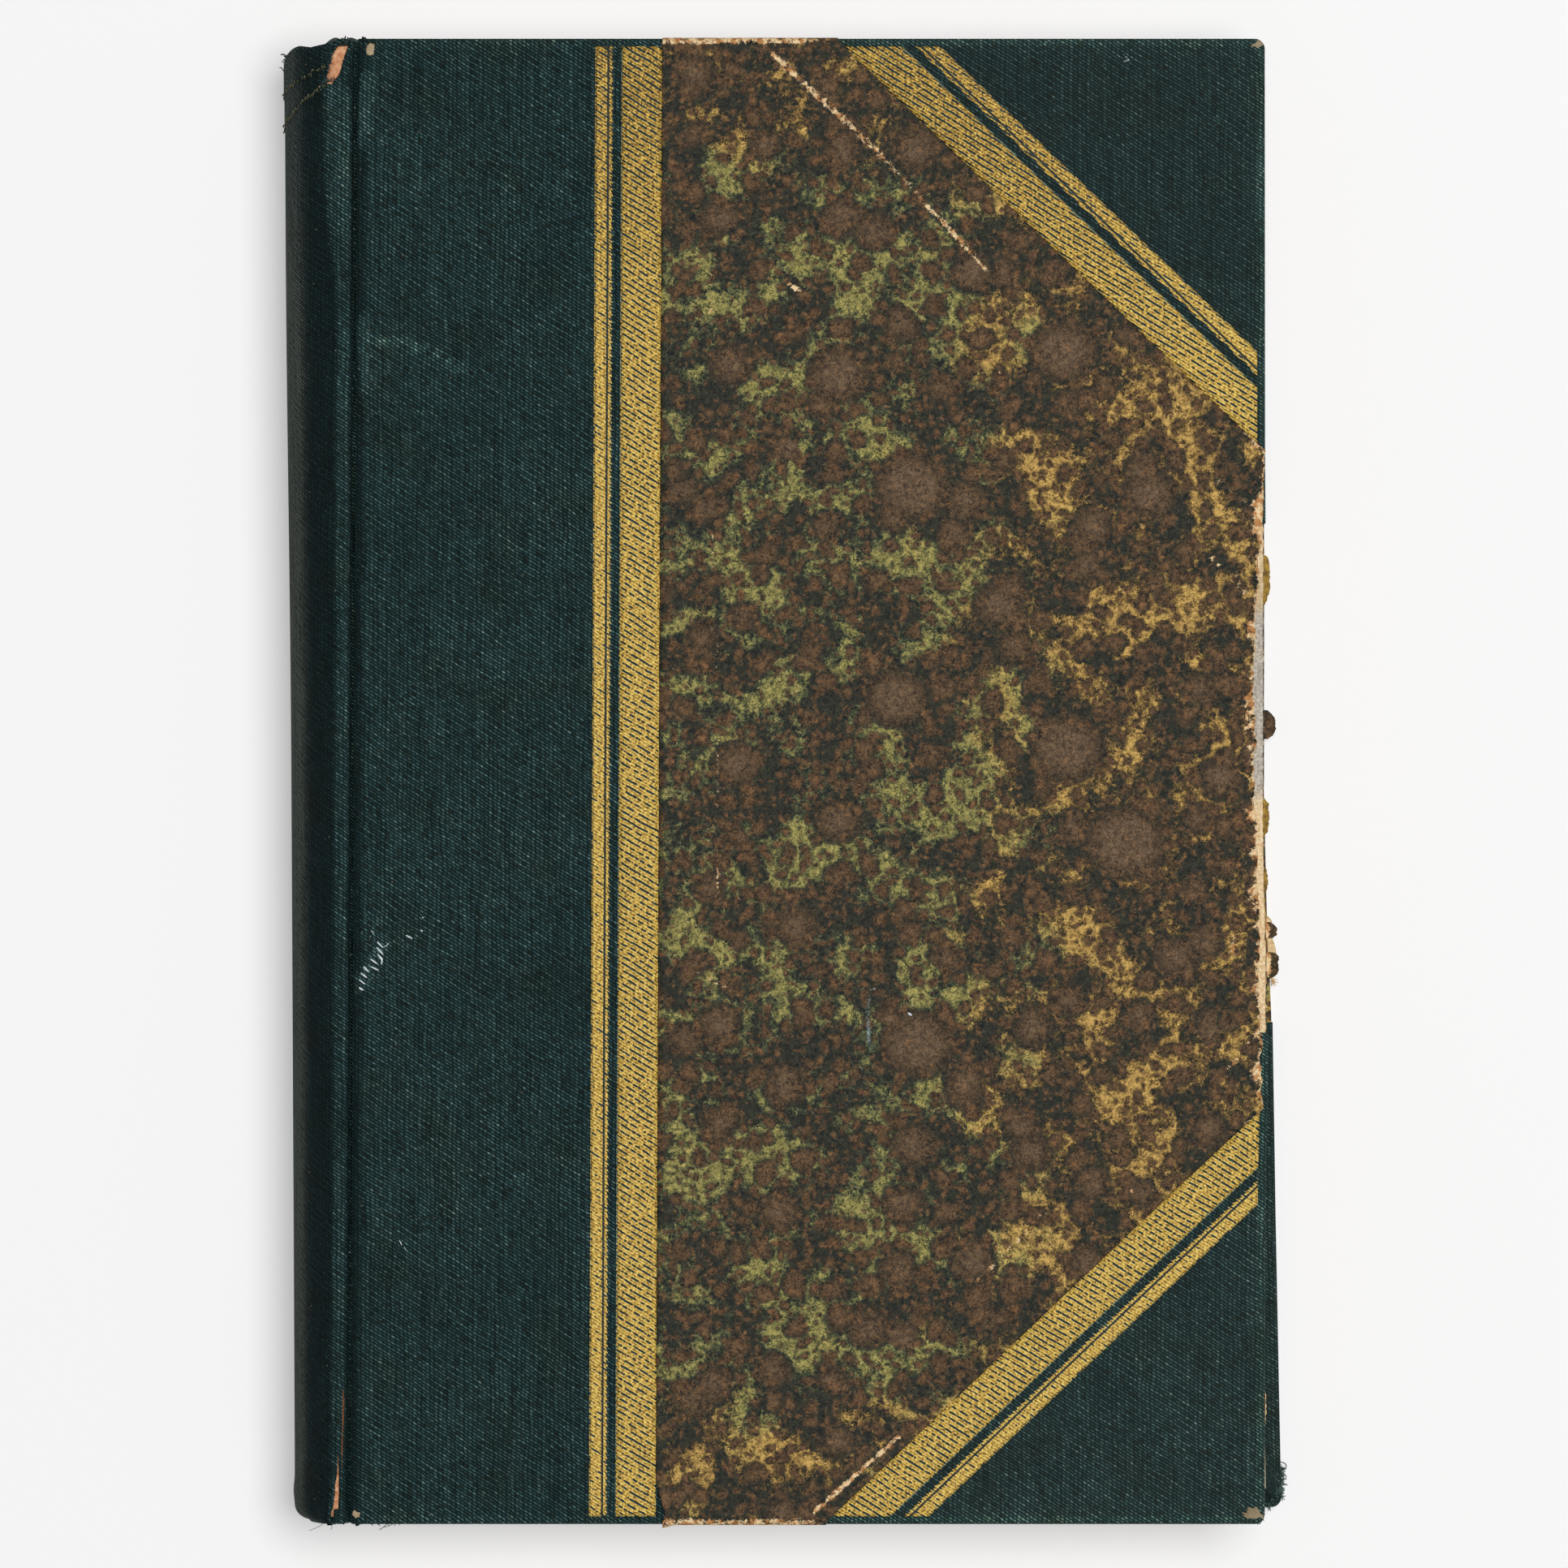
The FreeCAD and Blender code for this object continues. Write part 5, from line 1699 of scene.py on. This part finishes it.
# Sprays of short strokes, by look: (x, y, x, y, count, length, spread, radius).
SPRAYS = {
    "chalk": [
        (14.9, -34.6, 14.2, -40, 16, 0.3, 0.3, 0.045), (13, -40.8, 14.6, -42, 46, 0.35, 0.5, 0.055),
        (14.4, -42, 13.9, -45, 18, 0.35, 0.3, 0.055), (11.6, -43, 12.6, -45, 10, 0.3, 0.5, 0.045),
        (10.9, -48, 10.5, -50, 12, 0.35, 0.3, 0.055), (9.9, -51.6, 8.9, -53.4, 18, 0.4, 0.25, 0.06),
        (54, -57.2, 54.1, -58.4, 8, 0.35, 0.3, 0.06), (57, -58.2, 54.6, -60.8, 34, 0.4, 0.7, 0.055),
        (54.4, -61.2, 53.4, -62.2, 12, 0.4, 0.3, 0.07), (51.8, 111.4, 53.8, 109.6, 10, 0.5, 0.3, 0.045),
        (-63.9, -21, -62.4, -32, 26, 0.3, 1.2, 0.03),
    ],
    "sliver": [
        (71.5, -20, 71.8, -32, 14, 0.5, 1.4, 0.08), (69, 33, 70.4, 27, 12, 0.5, 0.9, 0.08),
        (-9, 40, -2, 5, 30, 0.35, 4, 0.05), (5, 30, 60, -20, 40, 0.3, 14, 0.04),
        (-18.3, 110, -18.1, -108, 40, 0.35, 0.12, 0.06),
    ],
}


def front_level(x, y):
    """The height of the front's face at a place seen from above."""
    level, inside = level_over_cloth(COVERS["front"], x - HINGE_X, y)
    return board_high.z + (CLOTH if inside < 0 else level + PAPER)


def make_marks():
    """Chalky scuffs and raised slivers of paper that lie on the front."""
    pick = random.Random(8)
    held = {}

    def lay(look, radius, run):
        points = [(x, y, front_level(x, y) + radius * 0.3) for x, y in run]
        held.setdefault((look, radius), []).append(points)

    for look, rows in MARKS.items():
        for radius, *run in rows:
            lay(look, radius, zip(run[::2], run[1::2]))
    for look, rows in SPRAYS.items():
        for ax, ay, bx, by, count, length, spread, radius in rows:
            for _ in range(count):
                t = pick.random()
                x = ax + (bx - ax) * t + pick.gauss(0, spread)
                y = ay + (by - ay) * t + pick.gauss(0, spread)
                x = min(x, HINGE_X + BOARD_W - 0.4)
                turn = pick.gauss(-0.6, 0.7)
                reach = length * pick.uniform(0.3, 1.2) / 2
                dx, dy = math.cos(turn) * reach, math.sin(turn) * reach
                lay(look, radius, [(x - dx, y - dy), (x + dy * 0.3, y), (x + dx, y + dy)])
    for (look, radius), runs in held.items():
        name = f"{look}_marks_{round(radius * 1000)}"
        tube(name, runs, radius, look, "front_cover", 0.35)


# Scraps that stick out at the fore edges: (name, body, slot, look, height, where x starts, marbling,
# rows of (y, how far x goes)). TORN_IN bares their inner parts and their outer tips.
TORN_IN = np.interp(np.linspace(0, 1, 9), [0, 0.45, 0.7, 0.9, 1], [1.0, 0.8, 0.0, 0.0, 0.5])
SCRAPS = [
    ("front_fore_flake", "front_cover", "marbled_paper", "flake", 23.6, 73.2, {},
     [(34.7, 74.1), (34.2, 74.5), (32.6, 74.7), (29.6, 74.75), (28, 74.3), (27.1, 73.9)]),
    ("front_fore_flake_2", "front_cover", "marbled_paper", "flake", 23.6, 73.2, {},
     [(-2.6, 73.8), (-3.4, 74.5), (-6, 74.6), (-7.6, 74.4), (-8.6, 73.9)]),
    ("front_fore_flake_3", "front_cover", "marbled_paper", "flake", 23.5, 73.2, {},
     [(-13, 73.9), (-14, 74.3), (-15.6, 74.5), (-16.8, 74.2), (-17.2, 73.7)]),
    ("back_fore_scrap_upper", "back_cover", "marbled_paper", "marbled", 3.2, 74.4,
     {"drop": 1.6, "vein": -1.2, "ochre": 0.8, "scar": TORN_IN},
     [(-21.9, 75.8), (-22.3, 76.5), (-22.9, 76.9), (-23.8, 76.8), (-24.4, 76.1)]),
    ("back_fore_scrap_middle", "back_cover", "marbled_paper", "marbled", 3.2, 74.4,
     {"drop": 1.6, "vein": -1.2, "ochre": 0.2},
     [(11.1, 75.4), (10.4, 76.1), (9.6, 76.6), (7.7, 76.55), (7.2, 76.2), (6.6, 75.5)]),
    ("back_fore_scrap_lower", "back_cover", "marbled_paper", "marbled", 3.2, 74.4,
     {"drop": 0.4, "vein": -0.1, "ochre": 0.9, "scar": TORN_IN},
     [(-26.6, 76.4), (-27.2, 77.1), (-29.8, 77.1), (-30.3, 76.5), (-30.9, 75.6)]),
    ("back_fore_core", "back_cover", "marbled_paper", "shred", 3, 74.2, {},
     [(-20.8, 75.4), (-21.8, 76.1), (-24, 76), (-25.4, 76.5), (-26.8, 76.8), (-31, 75.6)]),
    ("leaf_corner", "text_block", "leaves", "sliver", 20.6, 73, {},
     [(-91.2, 73.6), (-93.5, 74.15), (-96.5, 74.35), (-98.6, 74.2), (-99.9, 73.6)]),
]


def make_scraps():
    """Torn paper and board left at the fore edges."""
    for name, body, slot, look, level, low, marks, rows in SCRAPS:
        heights, highs = [np.array(column)[::-1] for column in zip(*rows)]
        grid = []
        for y in np.linspace(heights[0], heights[-1], 24):
            high = np.interp(y, heights, highs) + 0.22 * wobble(y, 1.0, 1.9, 4.0, 4)
            line = []
            for t in np.linspace(0, 1, 9):
                droop = 0.25 * t * t + 0.12 * wobble(y, t, 1.1, 2.0)
                line.append((low + (high - low) * t, y, level - droop))
            grid.append(line)
        flats = {"Cloth": np.array(grid)[..., :2] - [HINGE_X, 0.0]}
        marks = {"drop": 0.0, "vein": 0.0, "ochre": 0.0, "scar": 0.0, "frost": 0.0, **marks}
        scrap = sheet_object(name, grid, flats, look, thick=PAPER * 1.6, **marks)
        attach(scrap, body)


for cover in COVERS.values():
    make_board(cover)
    make_marbled(cover)
    for end in ("head", "tail"):
        make_corner(cover, end)
    make_gilt(cover)
    make_spine_half(cover)
for side in COVERS:
    make_endpaper_hinge(side)
make_leaves()
make_spine_card()
make_card_patches()
make_frays()
make_marks()
make_scraps()

LOOKS = {"mull": "gauze", "spine_liner": "lining"}
for node in ("front_flyleaf", "back_flyleaf", "front_pastedown", "back_pastedown"):
    LOOKS[node] = "endpaper"
for node, look in LOOKS.items():
    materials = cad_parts[node].data.materials
    materials.clear()
    materials.append(MATERIALS[look])


# ---- floor, light and camera ----

PALE_SHARE = 0.4
FLOOR_SIDE = 4.0
FLOOR_GAP = 0.0002  # keeps the floor and the back cover from touching
WORLD_STRENGTH = 0.2
LAMP_PLACE, LAMP_SIZE, LAMP_POWER = Vector((0.42, 0.16, 2.15)), 1.1, 39.0
LENS, CAMERA_HEIGHT = 224.5, 1.5


def floor_material():
    """A white floor, part of whose whiteness is for the camera alone, so that the shadow stays soft."""
    net = new_net("PaleFloor")
    material = net.finish((252, 252, 252), 0.9, 0.0)
    shaded = net.tree.nodes["Principled BSDF"].outputs[0]
    glow = net.add("Emission", {"Color": (254, 254, 254), "Strength": 1.0}).outputs[0]
    mixed = net.add("MixShader", {0: net.seen_directly() * PALE_SHARE, 1: shaded, 2: glow}).outputs[0]
    net.put(net.tree.nodes["Material Output"].inputs[0], mixed)
    return material


def make_floor():
    mesh = bpy.data.meshes.new("floor")
    corners = [(x * FLOOR_SIDE, y * FLOOR_SIDE, 0) for x, y in ((-1, -1), (1, -1), (1, 1), (-1, 1))]
    mesh.from_pydata(corners, [], [(0, 1, 2, 3)])
    mesh.materials.append(floor_material())
    floor = new_object("floor", mesh)
    floor.location.z = cad_box[0].z - FLOOR_GAP


def make_lamp():
    light = bpy.data.lights.new("key", "AREA")
    light.shape = "DISK"
    light.size = LAMP_SIZE
    light.energy = LAMP_POWER
    thing = new_object("key", light)
    thing.location = LAMP_PLACE
    thing.rotation_euler = (-LAMP_PLACE).to_track_quat("-Z", "Y").to_euler()


def make_world():
    """A dim world that the camera and reflections see as white."""
    bpy.context.scene.world = bpy.data.worlds.new("Studio")
    net = Net(bpy.context.scene.world)
    plain = net.add("Background", {"Strength": WORLD_STRENGTH}).outputs[0]
    white = net.add("Background", {"Color": (246, 246, 246)}).outputs[0]
    mixed = net.add("MixShader", {0: net.seen_directly(), 1: plain, 2: white}).outputs[0]
    net.add("OutputWorld", [mixed])


def make_camera():
    data = bpy.data.cameras.new("camera")
    data.lens = LENS
    data.sensor_width = 36.0
    data.clip_end = 20.0
    thing = new_object("camera", data)
    thing.location = (0.0001, -0.0004, BOOK_TOP * MM + CAMERA_HEIGHT)
    bpy.context.scene.camera = thing


make_floor()
make_world()
make_lamp()
make_camera()
bpy.context.scene.view_settings.view_transform = "Standard"
